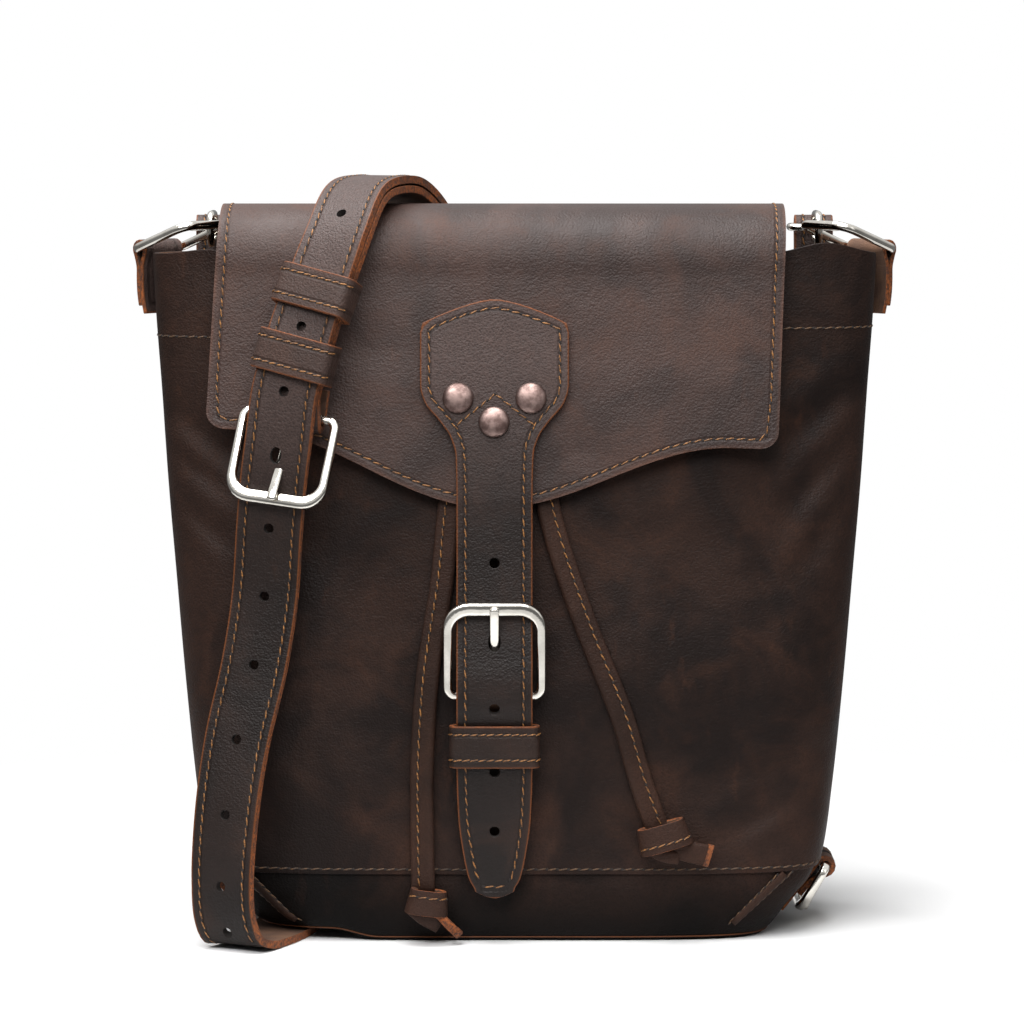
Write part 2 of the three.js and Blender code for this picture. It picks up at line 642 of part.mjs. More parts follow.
function strapShort() {
  const from = longFrames.indexOf(heelFrame);
  const under = longFrames.slice(from + 1, -1)
    .map((f) => ({ ...f, p: f.p.clone().addScaledVector(f.n, -LAYER) }));
  const w = strapAcross.clone().negate();
  const down = heelFrame.t.clone().negate();
  down.addScaledVector(w, -w.dot(down)).normalize();
  const back = w.clone().cross(down);
  const radius = STRAP_THICK / 2 + 2 * CLEAR + WIRE;
  const heel = { p: strapHeel.clone().addScaledVector(back, -radius), w, half: SHOULDER_HALF };
  const turned = [...foldBack(heel, down, back, radius, 11).reverse(), heel];
  const hung = stations(SHORT_ROWS, 3);
  const last = hung[hung.length - 1];
  const end = foldBack(last, UP, FORWARD, FOLD_RADIUS, END_TAIL);
  return cut(ribbon([...turned, ...under, ...hung, ...end]), [onStrap(eyeSlot())]);
}

function strapKeeper(z) {
  const f = onHang(z);
  const middle = f.p.clone().addScaledVector(f.n, -LAYER / 2);
  const band = keeperBand(SHOULDER_HALF + 0.8, (LAYER + STRAP_THICK) / 2 + 2 * LIE, STRAP_KEEPERS.band);
  return placed(band, f.w, f.n, f.w.clone().cross(f.n), middle);
}

// Rings at the top: a leather tab on each side, a ring, and the clip that holds the strap

const SIDE = { x: -139.4, y: 13.8, z: 263.2, turn: -38, tilt: 20, ring: 28, halfRing: 13, tabHalf: 10.5, tabTail: 25 };
const sideTilt = THREE.MathUtils.degToRad(SIDE.tilt);
const sideTurn = THREE.MathUtils.degToRad(SIDE.turn);
const onSide = (geometry) => geometry.rotateZ(sideTurn).translate(SIDE.x, SIDE.y, SIDE.z);

function sideRing() {
  const path = roundedPath(-SIDE.halfRing, SIDE.halfRing, 0, SIDE.ring, [3, 6]);
  const wire = wireAlong(path, vec(0, 0, 1), RING_WIRE, WIRE_SIDES, true);
  const inward = vec(Math.cos(sideTilt), 0, Math.sin(sideTilt));
  const along = vec(0, -1, 0);
  return onSide(placed(wire, along, inward, along.clone().cross(inward), vec(0, 0, 0)));
}

function sideTab() {
  const inner = RING_WIRE + CLEAR;
  const outer = inner + WALL;
  const shape = new THREE.Shape();
  shape.moveTo(outer, 0);
  shape.absarc(0, 0, outer, 0, Math.PI * 1.25, false);
  shape.lineTo(-WALL, -outer - 2);
  shape.lineTo(-WALL, -SIDE.tabTail + 3);
  shape.lineTo(0, -SIDE.tabTail);
  shape.lineTo(WALL, -SIDE.tabTail);
  shape.lineTo(WALL, -outer);
  const hole = new THREE.Path();
  hole.absarc(0, 0, inner, 0, 2 * Math.PI, true);
  shape.holes.push(hole);
  const settings = { depth: 2 * SIDE.tabHalf, bevelEnabled: false, curveSegments: 10 };
  const strip = new THREE.ExtrudeGeometry(shape, settings);
  placed(strip, vec(1, 0, 0), vec(0, 0, 1), vec(0, -1, 0), vec(0, SIDE.tabHalf, 0));
  return onSide(strip);
}

function strapClip() {
  const eyePath = roundedPath(-END_HALF - 1.8, END_HALF + 1.8, -8.4, 0, [2, 2], 2);
  const eye = wireAlong(eyePath, vec(0, 0, 1), CLIP_WIRE, THIN_SIDES, true)
    .translate(CLIP_EYE.x, CLIP_EYE.y, CLIP_EYE.z);
  const hookPath = roundedPath(-21.6, 0, -5.8, 5.4, [4.4, 4.4], 2);
  const hook = placed(
    wireAlong(hookPath, vec(0, 0, 1), CLIP_WIRE, THIN_SIDES, true),
    vec(0, 1, 0),
    vec(0, 0, 1),
    vec(1, 0, 0),
    vec(CLIP_EYE.x, CLIP_EYE.y - 8.4, CLIP_EYE.z),
  );
  return join(eye, hook);
}

// Buckles at the bottom corners, folded down over their tabs

const LOWER = { along: 33, half: 14.2, length: 18.5, open: 7, lie: 0.85 };
const LOWER_TAB = { half: 10.5, tail: 24, overlap: 15 };
const corner = { low: vec(97, 0, 0), high: vec(119.3, 0, SEAM_Z) };
const climb = corner.high.clone().sub(corner.low).normalize();
const outward = vec(climb.z, 0, -climb.x);
const lowerHeel = corner.low.clone()
  .addScaledVector(climb, LOWER.along)
  .addScaledVector(outward, BUCKLE.loop + LOWER.lie);
const lowerAcross = vec(0, -1, 0);

function onLower(geometry, swing) {
  const a = THREE.MathUtils.degToRad(swing);
  const yAxis = climb.clone().multiplyScalar(-Math.cos(a)).addScaledVector(outward, Math.sin(a));
  return placed(geometry, lowerAcross.clone(), yAxis, lowerAcross.clone().cross(yAxis), lowerHeel);
}

function lowerTab() {
  const pinWay = new THREE.BoxGeometry(2 * BUCKLE.slotHalf, 10, 8).translate(0, -5, 2.1);
  const strip = cut(loopTab(LOWER_TAB.half, LOWER_TAB.tail, LOWER_TAB.overlap), [pinWay]);
  return placed(strip, vec(0, 1, 0), climb, vec(0, 1, 0).cross(climb), lowerHeel);
}

// Drawstrings: sewn strips that come through the front, hang under the flap and end in a knot

const STRING = { wide: 9, thick: 4, lie: 2.5 };
const STRINGS = [
  {
    name: 'left',
    hole: STRING_HOLE.left,
    route: [
      [-16, 226], [-20, 196], [-25, 164], [-27.5, 139],
      [-33.5, 103], [-35.2, 68], [-35, 45], [-34.2, 21.5],
    ],
    knot: { x: -32, z: 14, wide: 8.6, deep: 5.6, tall: 7.6 },
    tail: { x: -22.5, z: 4.2 },
  },
  {
    name: 'right',
    hole: STRING_HOLE.right,
    route: [
      [4.5, 226], [8, 196], [14.2, 161], [26.4, 124],
      [41.3, 87], [49, 62], [54.3, 45.1],
    ],
    knot: { x: 57.6, z: 38.6, wide: 9.4, deep: 5.6, tall: 7.4 },
    tail: { x: 75, z: 33.4 },
  },
];

function stringStrip(string) {
  const z = STRING_HOLE.z;
  const face = frontY(string.hole, z);
  const start = [vec(string.hole, face + 7, z), vec(string.hole, face, z)];
  const turn = [
    vec(string.hole, face - 2.2, z - 1.2),
    vec(string.hole - 0.2, face - STRING.lie - 0.4, z - 4.5),
  ];
  const hang = string.route.map(([x, h]) => vec(x, frontY(x, h) - STRING.lie, h));
  const curve = new THREE.CatmullRomCurve3([...start, ...turn, ...hang], false, 'centripetal');
  const steps = 24;
  const list = curve.getPoints(steps).map((p) => ({ p, w: vec(1, 0, 0) }));
  const [a, b] = [STRING.wide / 2, STRING.thick / 2];
  return loft(framed(list).map((s) => Array.from({ length: WIRE_SIDES }, (_, k) => {
    const angle = ((k + 0.5) / WIRE_SIDES) * 2 * Math.PI;
    return s.p.clone()
      .addScaledVector(s.w, a * signedPower(Math.cos(angle), 0.6))
      .addScaledVector(s.n, b * signedPower(Math.sin(angle), 0.6));
  })));
}

function knotSolid(string) {
  const { knot, tail } = string;
  const centre = vec(knot.x, frontY(knot.x, knot.z) - knot.deep - 0.5, knot.z);
  const ball = new THREE.SphereGeometry(1, 10, 7).scale(knot.wide, knot.deep, knot.tall)
    .translate(...centre.toArray());
  const end = vec(tail.x, centre.y, tail.z);
  const strip = wireAlong([centre, end], FORWARD, [2.6, 3.2], THIN_SIDES, false);
  return join(ball, strip);
}

// Finishes

const LEATHER = { color: 0x463429, roughness: 0.6, metalness: 0 };
const STRAP_LEATHER = { color: 0x4b372c, roughness: 0.58, metalness: 0 };
const NICKEL = { color: 0xcfcdc8, roughness: 0.14, metalness: 1 };
const COPPER = { color: 0x8f7468, roughness: 0.38, metalness: 1 };

const bag = new THREE.Group();
bag.position.set(0, ORIGIN_SHIFT_Y, 0);

function add(name, geometry, finish) {
  const mesh = new THREE.Mesh(geometry, new THREE.MeshStandardMaterial(finish));
  mesh.name = name;
  bag.add(mesh);
}

add('body_front', bodyFront(), LEATHER);
add('body_back', bodyPanel(1), LEATHER);
add('base', baseBoot(), LEATHER);
add('flap', flapSheet(), LEATHER);
add('closure_strap', closureStrap, STRAP_LEATHER);
RIVETS.forEach((rivet) => add(rivet.name, rivetCap(rivet), COPPER));
add('front_buckle_tab', frontTab(), STRAP_LEATHER);
add('front_buckle', onFront(buckleFrame(FRONT_HALF, frontLength)), NICKEL);
add('front_prong', onFront(prongPin(frontLength, 1.2)), NICKEL);
add('front_keeper', frontKeeper, STRAP_LEATHER);

add('strap_long', strapLong(), STRAP_LEATHER);
add('strap_short', strapShort(), STRAP_LEATHER);
add('strap_buckle', onStrap(buckleFrame(STRAP_BUCKLE.half, strapLength)), NICKEL);
add('strap_prong', onStrap(prongPin(strapLength, 1.2)), NICKEL);
add('strap_keeper_upper', strapKeeper(STRAP_KEEPERS.upper), STRAP_LEATHER);
add('strap_keeper_lower', strapKeeper(STRAP_KEEPERS.lower), STRAP_LEATHER);

const sides = [
  { name: 'left', top: (g) => g, low: mirrored },
  { name: 'right', top: mirrored, low: (g) => g },
];
sides.forEach((side) => {
  add(`side_tab_${side.name}`, side.top(sideTab()), STRAP_LEATHER);
  add(`ring_${side.name}`, side.top(sideRing()), NICKEL);
  add(`clip_${side.name}`, side.top(strapClip()), NICKEL);
  add(`lower_tab_${side.name}`, side.low(lowerTab()), STRAP_LEATHER);
  const frame = onLower(buckleFrame(LOWER.half, LOWER.length), LOWER.open);
  const prong = onLower(prongPin(LOWER.length, -3), LOWER.open);
  add(`lower_buckle_${side.name}`, side.low(frame), NICKEL);
  add(`lower_prong_${side.name}`, side.low(prong), NICKEL);
});

STRINGS.forEach((string) => {
  add(`drawstring_${string.name}`, stringStrip(string), STRAP_LEATHER);
  add(`knot_${string.name}`, knotSolid(string), STRAP_LEATHER);
});

export default bag;
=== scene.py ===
# %% [markdown]
# # A leather crossbody bag
# This lesson dresses the solid model of a small leather bag. The bag stands on its boxed base, its
# flap is held by a buckled strap, and its shoulder strap hangs over the flap and under the bag.
# The solid model is loaded first. Every piece made here goes where a solid already is, in metres.

# %% Load the solids
import math

import bmesh
import bpy
from mathutils import Matrix, Vector, noise


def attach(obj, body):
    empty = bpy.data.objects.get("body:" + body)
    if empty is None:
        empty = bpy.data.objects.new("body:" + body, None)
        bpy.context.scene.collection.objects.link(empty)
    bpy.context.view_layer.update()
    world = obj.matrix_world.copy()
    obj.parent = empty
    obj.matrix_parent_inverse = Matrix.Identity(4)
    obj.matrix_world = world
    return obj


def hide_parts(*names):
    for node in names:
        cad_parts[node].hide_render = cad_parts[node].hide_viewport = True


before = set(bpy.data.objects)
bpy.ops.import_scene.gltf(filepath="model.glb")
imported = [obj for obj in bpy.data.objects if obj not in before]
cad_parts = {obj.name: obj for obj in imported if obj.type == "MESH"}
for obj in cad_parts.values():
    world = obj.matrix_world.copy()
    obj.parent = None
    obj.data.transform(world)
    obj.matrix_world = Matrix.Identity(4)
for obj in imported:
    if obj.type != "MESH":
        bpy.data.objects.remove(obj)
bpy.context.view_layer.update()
MM = 0.001
FRAME_SHIFT = -2.4


def spot(x, y, z):
    """A place on the bag, given in millimetres from the middle of its base."""
    return Vector((x, y + FRAME_SHIFT, z)) * MM


# %% [markdown]
# ## Camera
# The photograph was taken from the front with a long lens, a little above the middle of the bag. A
# long lens far away keeps the sides of the bag nearly parallel, as they are in the photograph.

# %% Camera
CAMERA_AT = spot(0, -1600, 320)
CAMERA_AIM = spot(-1, 0, 161)
camera_data = bpy.data.cameras.new("camera")
camera_data.lens = 145
camera_data.sensor_width = 36
camera_data.clip_end = 20
camera = bpy.data.objects.new("camera", camera_data)
bpy.context.scene.collection.objects.link(camera)
camera.location = CAMERA_AT
camera.rotation_euler = (CAMERA_AIM - CAMERA_AT).to_track_quat("-Z", "Y").to_euler()
bpy.context.scene.camera = camera
print("camera is", round((CAMERA_AIM - CAMERA_AT).length, 2), "m away")

# %% [markdown]
# ## Finishes
# The leather is an oiled, dark brown hide. Its colour wanders between near black and a worn reddish
# brown, its grain is a net of small cells, and its gloss changes where it was rubbed. All of this
# comes from noise on Object coordinates, so the hide does not repeat and does not slide. The next
# helper adds nodes in a few words, because a hide needs about thirty of them.


# %% Node helpers
class Nodes:
    """Adds and links the nodes of one material."""

    def __init__(self, name):
        self.material = bpy.data.materials.new(name)
        self.material.use_nodes = True
        self.tree = self.material.node_tree
        self.shader = self.tree.nodes["Principled BSDF"]
        self.place = self.tree.nodes.new("ShaderNodeTexCoord").outputs["Object"]

    def add(self, kind, values=None, **settings):
        node = self.tree.nodes.new("ShaderNode" + kind)
        for key, value in settings.items():
            setattr(node, key, value)
        for key, value in (values or {}).items():
            self.put(node.inputs[key], value)
        return node

    def put(self, socket, value):
        if isinstance(value, bpy.types.NodeSocket):
            self.tree.links.new(value, socket)
        else:
            socket.default_value = value

    def stretch(self, scale):
        return self.add("Mapping", {"Vector": self.place, "Scale": scale}).outputs["Vector"]

    def noise(self, scale, detail=4.0, rough=0.55, place=None, warp=0.0):
        values = {"Vector": place or self.place, "Scale": scale, "Detail": detail}
        values.update({"Roughness": rough, "Distortion": warp})
        return self.add("TexNoise", values).outputs["Fac"]

    def cells(self, scale, feature="F1", place=None):
        node = self.add("TexVoronoi", {"Vector": place or self.place, "Scale": scale}, feature=feature)
        return node.outputs["Distance"]

    def ramp(self, value, low, high, start=0.0, end=1.0):
        values = {"Value": value, "From Min": low, "From Max": high, "To Min": start, "To Max": end}
        return self.add("MapRange", values, interpolation_type="SMOOTHSTEP").outputs["Result"]

    def math(self, operation, a, b=0.0):
        node = self.add("Math", operation=operation)
        self.put(node.inputs[0], a)
        self.put(node.inputs[1], b)
        return node.outputs[0]

    def mix(self, share, a, b):
        node = self.add("Mix", data_type="RGBA")
        for socket, value in ((0, share), (6, a), (7, b)):
            self.put(node.inputs[socket], value)
        return node.outputs[2]

    def bump(self, height, distance, strength=1.0, under=None):
        values = {"Height": height, "Distance": distance, "Strength": strength}
        if under:
            values["Normal"] = under
        return self.add("Bump", values).outputs["Normal"]

    def finish(self, **sockets):
        for key, value in sockets.items():
            self.put(self.shader.inputs[key.replace("_", " ")], value)
        return self.material


def shade(red, green, blue):
    """A colour from its usual 0 to 255 values, as the shader counts light."""
    return tuple(((v / 255 + 0.055) / 1.055) ** 2.4 for v in (red, green, blue)) + (1.0,)


print("node helpers ready")

# %% [markdown]
# The hide has four layers. A slow noise gives the dark and the warm areas, a stretched noise gives
# the rubbed streaks, fine cells give the pores, and a very fine noise breaks up the gloss. Each
# piece carries an attribute named rim, its distance from the nearest cut edge in millimetres. With
# it the same finish darkens the groove that the stitches lie in and rubs the edge lighter.


# %% Leather
STITCH_INSET = 3.4
# A pale grey that stands in for the sheen of the overhead light on the upper straps: a painted highlight.
PAINTED_TOP_SHEEN = shade(118, 98, 93)


def hide(name, deep, plain, worn, gloss=0.46, sheen=0.2, groove=True, top_sheen=0.0, bottom_shade=0.0, cut=0.0, pore=1100):
    n = Nodes(name)
    cloud = n.noise(15, 5, 0.62, warp=0.5)
    patch = n.noise(34, 6, 0.62, warp=0.6)
    streak = n.noise(120, 5, 0.6, place=n.stretch((1.0, 1.0, 0.35)))
    colour = n.mix(n.ramp(cloud, 0.4, 0.6), deep, plain)
    colour = n.mix(n.ramp(patch, 0.46, 0.78, 0, 0.34), colour, worn)
    colour = n.mix(n.ramp(streak, 0.6, 0.82, 0, 0.4), colour, worn)
    high = n.add("SeparateXYZ", {"Vector": n.place}).outputs["Z"]
    # Painted highlight: above 150 mm the colour is drawn toward the pale grey of the top sheen.
    colour = n.mix(n.ramp(high, 0.15, 0.225, 0, top_sheen), colour, PAINTED_TOP_SHEEN)
    # Painted shade: near the floor the colour is drawn toward the deep tone, the most at the bottom.
    colour = n.mix(n.ramp(high, 0.004, 0.03, bottom_shade, 0), colour, deep)
    grain = n.math("ADD", n.cells(pore), n.math("MULTIPLY", n.noise(pore * 1.7, 3), 0.9))
    colour = n.mix(n.ramp(grain, 0.5, 1.2, 0.45, 0.0), colour, deep)
    height = n.math("MULTIPLY", grain, 0.8)
    creases = n.cells(330, "DISTANCE_TO_EDGE", place=n.stretch((0.8, 1.0, 1.6)))
    height = n.math("ADD", height, n.ramp(creases, 0.0, 0.12, 0.0, 0.2))
    if groove:
        rim = n.add("Attribute", attribute_name="rim").outputs["Fac"]
        away = n.math("ABSOLUTE", n.math("SUBTRACT", rim, STITCH_INSET))
        line = n.ramp(away, 0.35, 1.3, 1.0, 0.0)
        colour = n.mix(n.math("MULTIPLY", line, 0.5), colour, deep)
        height = n.math("SUBTRACT", height, n.math("MULTIPLY", line, 1.2))
        rubbed = n.math("MULTIPLY", n.ramp(rim, 0.0, 1.6, 1.0, 0.0), n.ramp(patch, 0.3, 0.65))
        colour = n.mix(n.math("MULTIPLY", rubbed, 0.55), colour, worn)
        colour = n.mix(n.ramp(rim, 0.3, 0.7, cut, 0.0), colour, shade(104, 56, 22))
    rough = n.math("ADD", n.ramp(patch, 0.3, 0.75, gloss - 0.08, gloss + 0.1), n.math("MULTIPLY", grain, 0.07))
    normal = n.bump(n.noise(52, 5, 0.6), 0.0011, 0.45)
    normal = n.bump(height, 0.00022, 0.8, normal)
    return n.finish(Base_Color=colour, Roughness=rough, Normal=normal, Specular_IOR_Level=sheen)


BODY_HIDE = hide("hide_body", shade(23, 16, 14), shade(42, 29, 24), shade(76, 49, 36), 0.45, 0.1, False)
# The base's leather is a darker copy of the body's, painted shade for a part that faces down, and is darkened further
# toward the floor.
SHADED_BASE_HIDE = hide("hide_base", shade(9, 6, 5), shade(37, 26, 22), shade(60, 39, 30), 0.47, 0.07, False, bottom_shade=0.85)
FLAP_HIDE = hide("hide_flap", shade(40, 29, 26), shade(59, 43, 38), shade(92, 62, 49), 0.46, 0.25)
STRAP_HIDE = hide("hide_strap", shade(21, 15, 13), shade(31, 22, 19), shade(60, 39, 29), 0.42, 0.2, top_sheen=0.27, cut=0.75)
KEEPER_HIDE = hide("hide_keeper", shade(32, 22, 18), shade(48, 33, 27), shade(76, 49, 36), 0.45, 0.2, top_sheen=0.12, cut=0.6)
STRING_HIDE = hide("hide_string", shade(34, 22, 17), shade(50, 33, 26), shade(76, 50, 37), 0.5, 0.12, False)
print("hides", [m.name for m in (BODY_HIDE, SHADED_BASE_HIDE, FLAP_HIDE, STRAP_HIDE, KEEPER_HIDE, STRING_HIDE)])

# %% [markdown]
# Where the hide is cut, its raw edge shows orange and fibrous. Its back is a soft brown suede. The
# thread is waxed and golden, with a twist, and each stitch ends at a dark bead, painted shade of its hole.


# %% Edges, suede and thread
def raw_edge():
    n = Nodes("hide_cut_edge")
    fibres = n.noise(900, 5, 0.7)
    dirt = n.noise(140, 4, 0.6)
    colour = n.mix(n.ramp(fibres, 0.36, 0.62), shade(58, 27, 9), shade(142, 74, 22))
    colour = n.mix(n.ramp(dirt, 0.42, 0.7, 0, 0.8), colour, shade(52, 30, 18))
    rim = n.add("Attribute", attribute_name="rim").outputs["Fac"]
    # Painted shade: edge faces far from the outer cut, the walls of punched holes and slots, are darkened to near
    # black.
    colour = n.mix(n.ramp(rim, 1.2, 2.4), colour, shade(22, 14, 10))
    return n.finish(Base_Color=colour, Roughness=0.78, Normal=n.bump(fibres, 0.0005, 0.8))


def suede():
    n = Nodes("hide_back")
    nap = n.noise(1500, 4, 0.7)
    colour = n.mix(n.ramp(n.noise(60, 4), 0.35, 0.7), shade(70, 48, 36), shade(104, 74, 54))
    return n.finish(Base_Color=colour, Roughness=0.9, Normal=n.bump(nap, 0.0003, 0.7))


def waxed_thread(name, dark, light):
    n = Nodes(name)
    twist = n.noise(1300, 2, 0.5)
    colour = n.mix(n.ramp(twist, 0.35, 0.68), dark, light)
    return n.finish(Base_Color=colour, Roughness=0.55, Normal=n.bump(twist, 0.0002, 0.6))


# The near black of the needle holes is painted shade.
def needle_hole_shade():
    n = Nodes("needle_hole_shade")
    colour = n.mix(n.noise(900, 2), shade(12, 8, 6), shade(30, 19, 13))
    return n.finish(Base_Color=colour, Roughness=0.85)


EDGE = raw_edge()
SUEDE = suede()
THREAD = waxed_thread("waxed_thread", shade(78, 47, 18), shade(148, 99, 46))
DULL_THREAD = waxed_thread("dull_thread", shade(44, 28, 13), shade(92, 62, 30))
HOLE_SHADE = needle_hole_shade()
print("edge finishes", [m.name for m in (EDGE, SUEDE, THREAD, DULL_THREAD, HOLE_SHADE)])

# %% [markdown]
# The buckles are polished nickel: nearly a mirror, with faint hairlines. The three rivets are
# antique copper, pinkish and duller, darker where polish has not reached.


# %% Metal
def nickel():
    n = Nodes("nickel")
    hair = n.noise(400, 4, 0.6, place=n.stretch((1.0, 1.0, 6.0)))
    smear = n.noise(90, 4)
    colour = n.mix(n.ramp(smear, 0.35, 0.7), shade(196, 192, 184), shade(222, 218, 210))
    rough = n.ramp(hair, 0.3, 0.75, 0.07, 0.19)
    return n.finish(Base_Color=colour, Metallic=1.0, Roughness=rough, Normal=n.bump(hair, 0.00005, 0.3))


def copper():
    n = Nodes("antique_copper")
    cloud = n.noise(260, 5, 0.6)
    fine = n.noise(1800, 3)
    colour = n.mix(n.ramp(cloud, 0.34, 0.68), shade(92, 74, 70), shade(150, 128, 122))
    rough = n.ramp(cloud, 0.3, 0.7, 0.52, 0.42)
    return n.finish(Base_Color=colour, Metallic=1.0, Roughness=rough, Normal=n.bump(fine, 0.00006, 0.5))


NICKEL = nickel()
COPPER = copper()
print("metals", NICKEL.name, COPPER.name)

# %% [markdown]
# ## How a leather maker works
# A strap is cut flat, punched, and only then laid along its way. The helpers here do the same. A
# grid is the flat pattern, faces are taken out and the rim drawn into a circle for each hole, and every
# vertex is then moved from the flat to its place on the strap's way. The Solidify modifier gives
# the thickness, with the cut edge and the suede as its second and third materials.


# %% Piece helpers
def make_piece(name, bm, *materials):
    mesh = bpy.data.meshes.new(name)
    bm.to_mesh(mesh)
    bm.free()
    for material in materials:
        mesh.materials.append(material)
    mesh.shade_smooth()
    piece = bpy.data.objects.new(name, mesh)
    bpy.context.scene.collection.objects.link(piece)
    return piece


def keep(piece, slot, *nodes, body="bag"):
    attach(piece, body)
    if nodes:
        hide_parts(*nodes)
    print(piece.name, len(piece.data.polygons), "faces")
    return piece


def thicken(piece, thick, offset=0.0, soft=0.35):
    wall = piece.modifiers.new("thickness", "SOLIDIFY")
    wall.thickness = thick * MM
    wall.offset = offset
    wall.material_offset = 2
    wall.material_offset_rim = 1
    edge = piece.modifiers.new("soft_edge", "BEVEL")
    edge.width = soft * MM
    edge.segments = 2
    edge.limit_method = "ANGLE"
    edge.angle_limit = math.radians(50)
    edge.harden_normals = True
    return piece


print("piece helpers ready")

# %% [markdown]
# A way is a list of stations. Each has a place, the direction of the strap's width and half of its
# width. A smooth curve goes through the stations, and at any length along it the way gives the
# place, the direction, the width and the side that faces out.


# %% Ways
def smooth_way(points, per):
    ends = [2 * points[0] - points[1], *points, 2 * points[-1] - points[-2]]
    way = []
    for i in range(len(points) - 1):
        p0, p1, p2, p3 = ends[i : i + 4]
        d0, d1, d2 = (max((b - a).length, 1e-9) ** 0.5 for a, b in ((p0, p1), (p1, p2), (p2, p3)))
        m1 = ((p1 - p0) / d0 - (p2 - p0) / (d0 + d1) + (p2 - p1) / d1) * d1
        m2 = ((p2 - p1) / d1 - (p3 - p1) / (d1 + d2) + (p3 - p2) / d2) * d1
        for k in range(per):
            t = k / per
            bend = (3 * (p2 - p1) - 2 * m1 - m2) * t**2
            way.append(p1 + m1 * t + bend + (2 * (p1 - p2) + m1 + m2) * t**3)
    return [*way, points[-1]]


class Way:
    """A smooth way for a strip, from stations of place, width direction and half width."""

    def __init__(self, stations, per=1):
        places = smooth_way([s[0] for s in stations], per)
        last = len(places) - 1
        self.marks = []
        length = 0.0
        for i, place in enumerate(places):
            a = stations[i // per]
            b = stations[min(i // per + 1, len(stations) - 1)]
            share = (i % per) / per
            along = (places[min(i + 1, last)] - places[max(i - 1, 0)]).normalized()
            wide = a[1].lerp(b[1], share)
            wide = (wide - along * wide.dot(along)).normalized()
            half = a[2] + (b[2] - a[2]) * share
            length += (place - places[i - 1]).length if i else 0.0
            self.marks.append((length, place, along, wide, wide.cross(along), half))
        self.length = length

    def at(self, s):
        marks = self.marks
        low, high = 0, len(marks) - 1
        while high - low > 1:
            middle = (low + high) // 2
            if marks[middle][0] <= s:
                low = middle
            else:
                high = middle
        a, b = marks[low], marks[high]
        share = (s - a[0]) / max(b[0] - a[0], 1e-9)
        place, along, wide, out = (a[k].lerp(b[k], share) for k in range(1, 5))
        return place, along.normalized(), wide.normalized(), out.normalized(), a[5] + (b[5] - a[5]) * share

    def nearest(self, place):
        return min(self.marks, key=lambda m: (m[1] - place).length)[0]


print("ways ready")

# %% [markdown]
# The flat pattern is a grid. A hole takes out a block of faces, and the square rim that is left is
# extruded inward onto a circle, which keeps the mesh clean round the hole. When the strip is laid
# along its way, the distance from the cut edge is stored for the leather's groove and wear.


# %% Strips
def punch(bm, x, y, radius, tall=1.0):
    reach = radius * 1.38
    gone = []
    for face in bm.faces:
        middle = face.calc_center_median()
        if abs(middle.x - x) < reach and abs(middle.y - y) < reach * tall:
            gone.append(face)
    around = {e for f in gone for e in f.edges}
    rim = [e for e in around if any(f not in gone for f in e.link_faces)]
    bmesh.ops.delete(bm, geom=gone, context="FACES")
    grown = bmesh.ops.extrude_edge_only(bm, edges=rim)["geom"]
    for v in (g for g in grown if isinstance(g, bmesh.types.BMVert)):
        away = Vector((v.co.x - x, (v.co.y - y) / tall)).normalized() * radius
        v.co = (x + away.x, y + away.y * tall, 0)


def face_up(bm):
    bmesh.ops.recalc_face_normals(bm, faces=bm.faces)
    if sum(f.normal.z * f.calc_area() for f in bm.faces) < 0:
        bmesh.ops.reverse_faces(bm, faces=bm.faces)


def lay_strip(name, way, columns, step, material, holes=(), ring=False, ends=False):
    bm = bmesh.new()
    rows = max(2, round(way.length / MM / step))
    bmesh.ops.create_grid(bm, x_segments=columns, y_segments=rows, size=0.5)
    for v in bm.verts:
        s = (v.co.y + 0.5) * way.length
        v.co = (v.co.x * 2 * way.at(s)[4], s / MM, 0)
    for s, radius, tall in holes:
        punch(bm, 0, s / MM, radius, tall)
    face_up(bm)
    rim = bm.verts.layers.float.new("rim")
    for v in bm.verts:
        s = min(max(v.co.y * MM, 0), way.length)
        place, _, wide, _, half = way.at(s)
        v[rim] = half - abs(v.co.x)
        if ends:
            v[rim] = min(v[rim], v.co.y, way.length / MM - v.co.y)
        v.co = place + wide * (v.co.x * MM)
    if ring:
        bmesh.ops.remove_doubles(bm, verts=bm.verts, dist=0.3 * MM)
    return make_piece(name, bm, material, EDGE, SUEDE)


print("strip helpers ready")

# %% [markdown]
# A stitch is a short bead of thread, pulled into the leather at both ends. Each one is a small
# sphere stretched along the seam and turned a little, as a saddle stitch leans, with a dark bead
# after it as painted shade of the needle hole. A seam is one piece, because hundreds of loose
# objects would be hard to handle.

# %% Seams
STITCH_PITCH = 4.1
STITCH_LEAN = math.radians(11)
THREAD_HALF = (0.33, 0.3, 1.78)
HOLE_HALF = (0.5, 0.3, 0.8)


def bead(bm, place, along, out, halves, material):
    side = out.cross(along).normalized()
    axes = Matrix((side * halves[0], out * halves[1], along * halves[2])).transposed() * MM
    shape = Matrix.Translation(place) @ axes.to_4x4()
    made = bmesh.ops.create_uvsphere(bm, u_segments=6, v_segments=5, radius=1, matrix=shape)
    for face in {f for v in made["verts"] for f in v.link_faces}:
        face.material_index = material


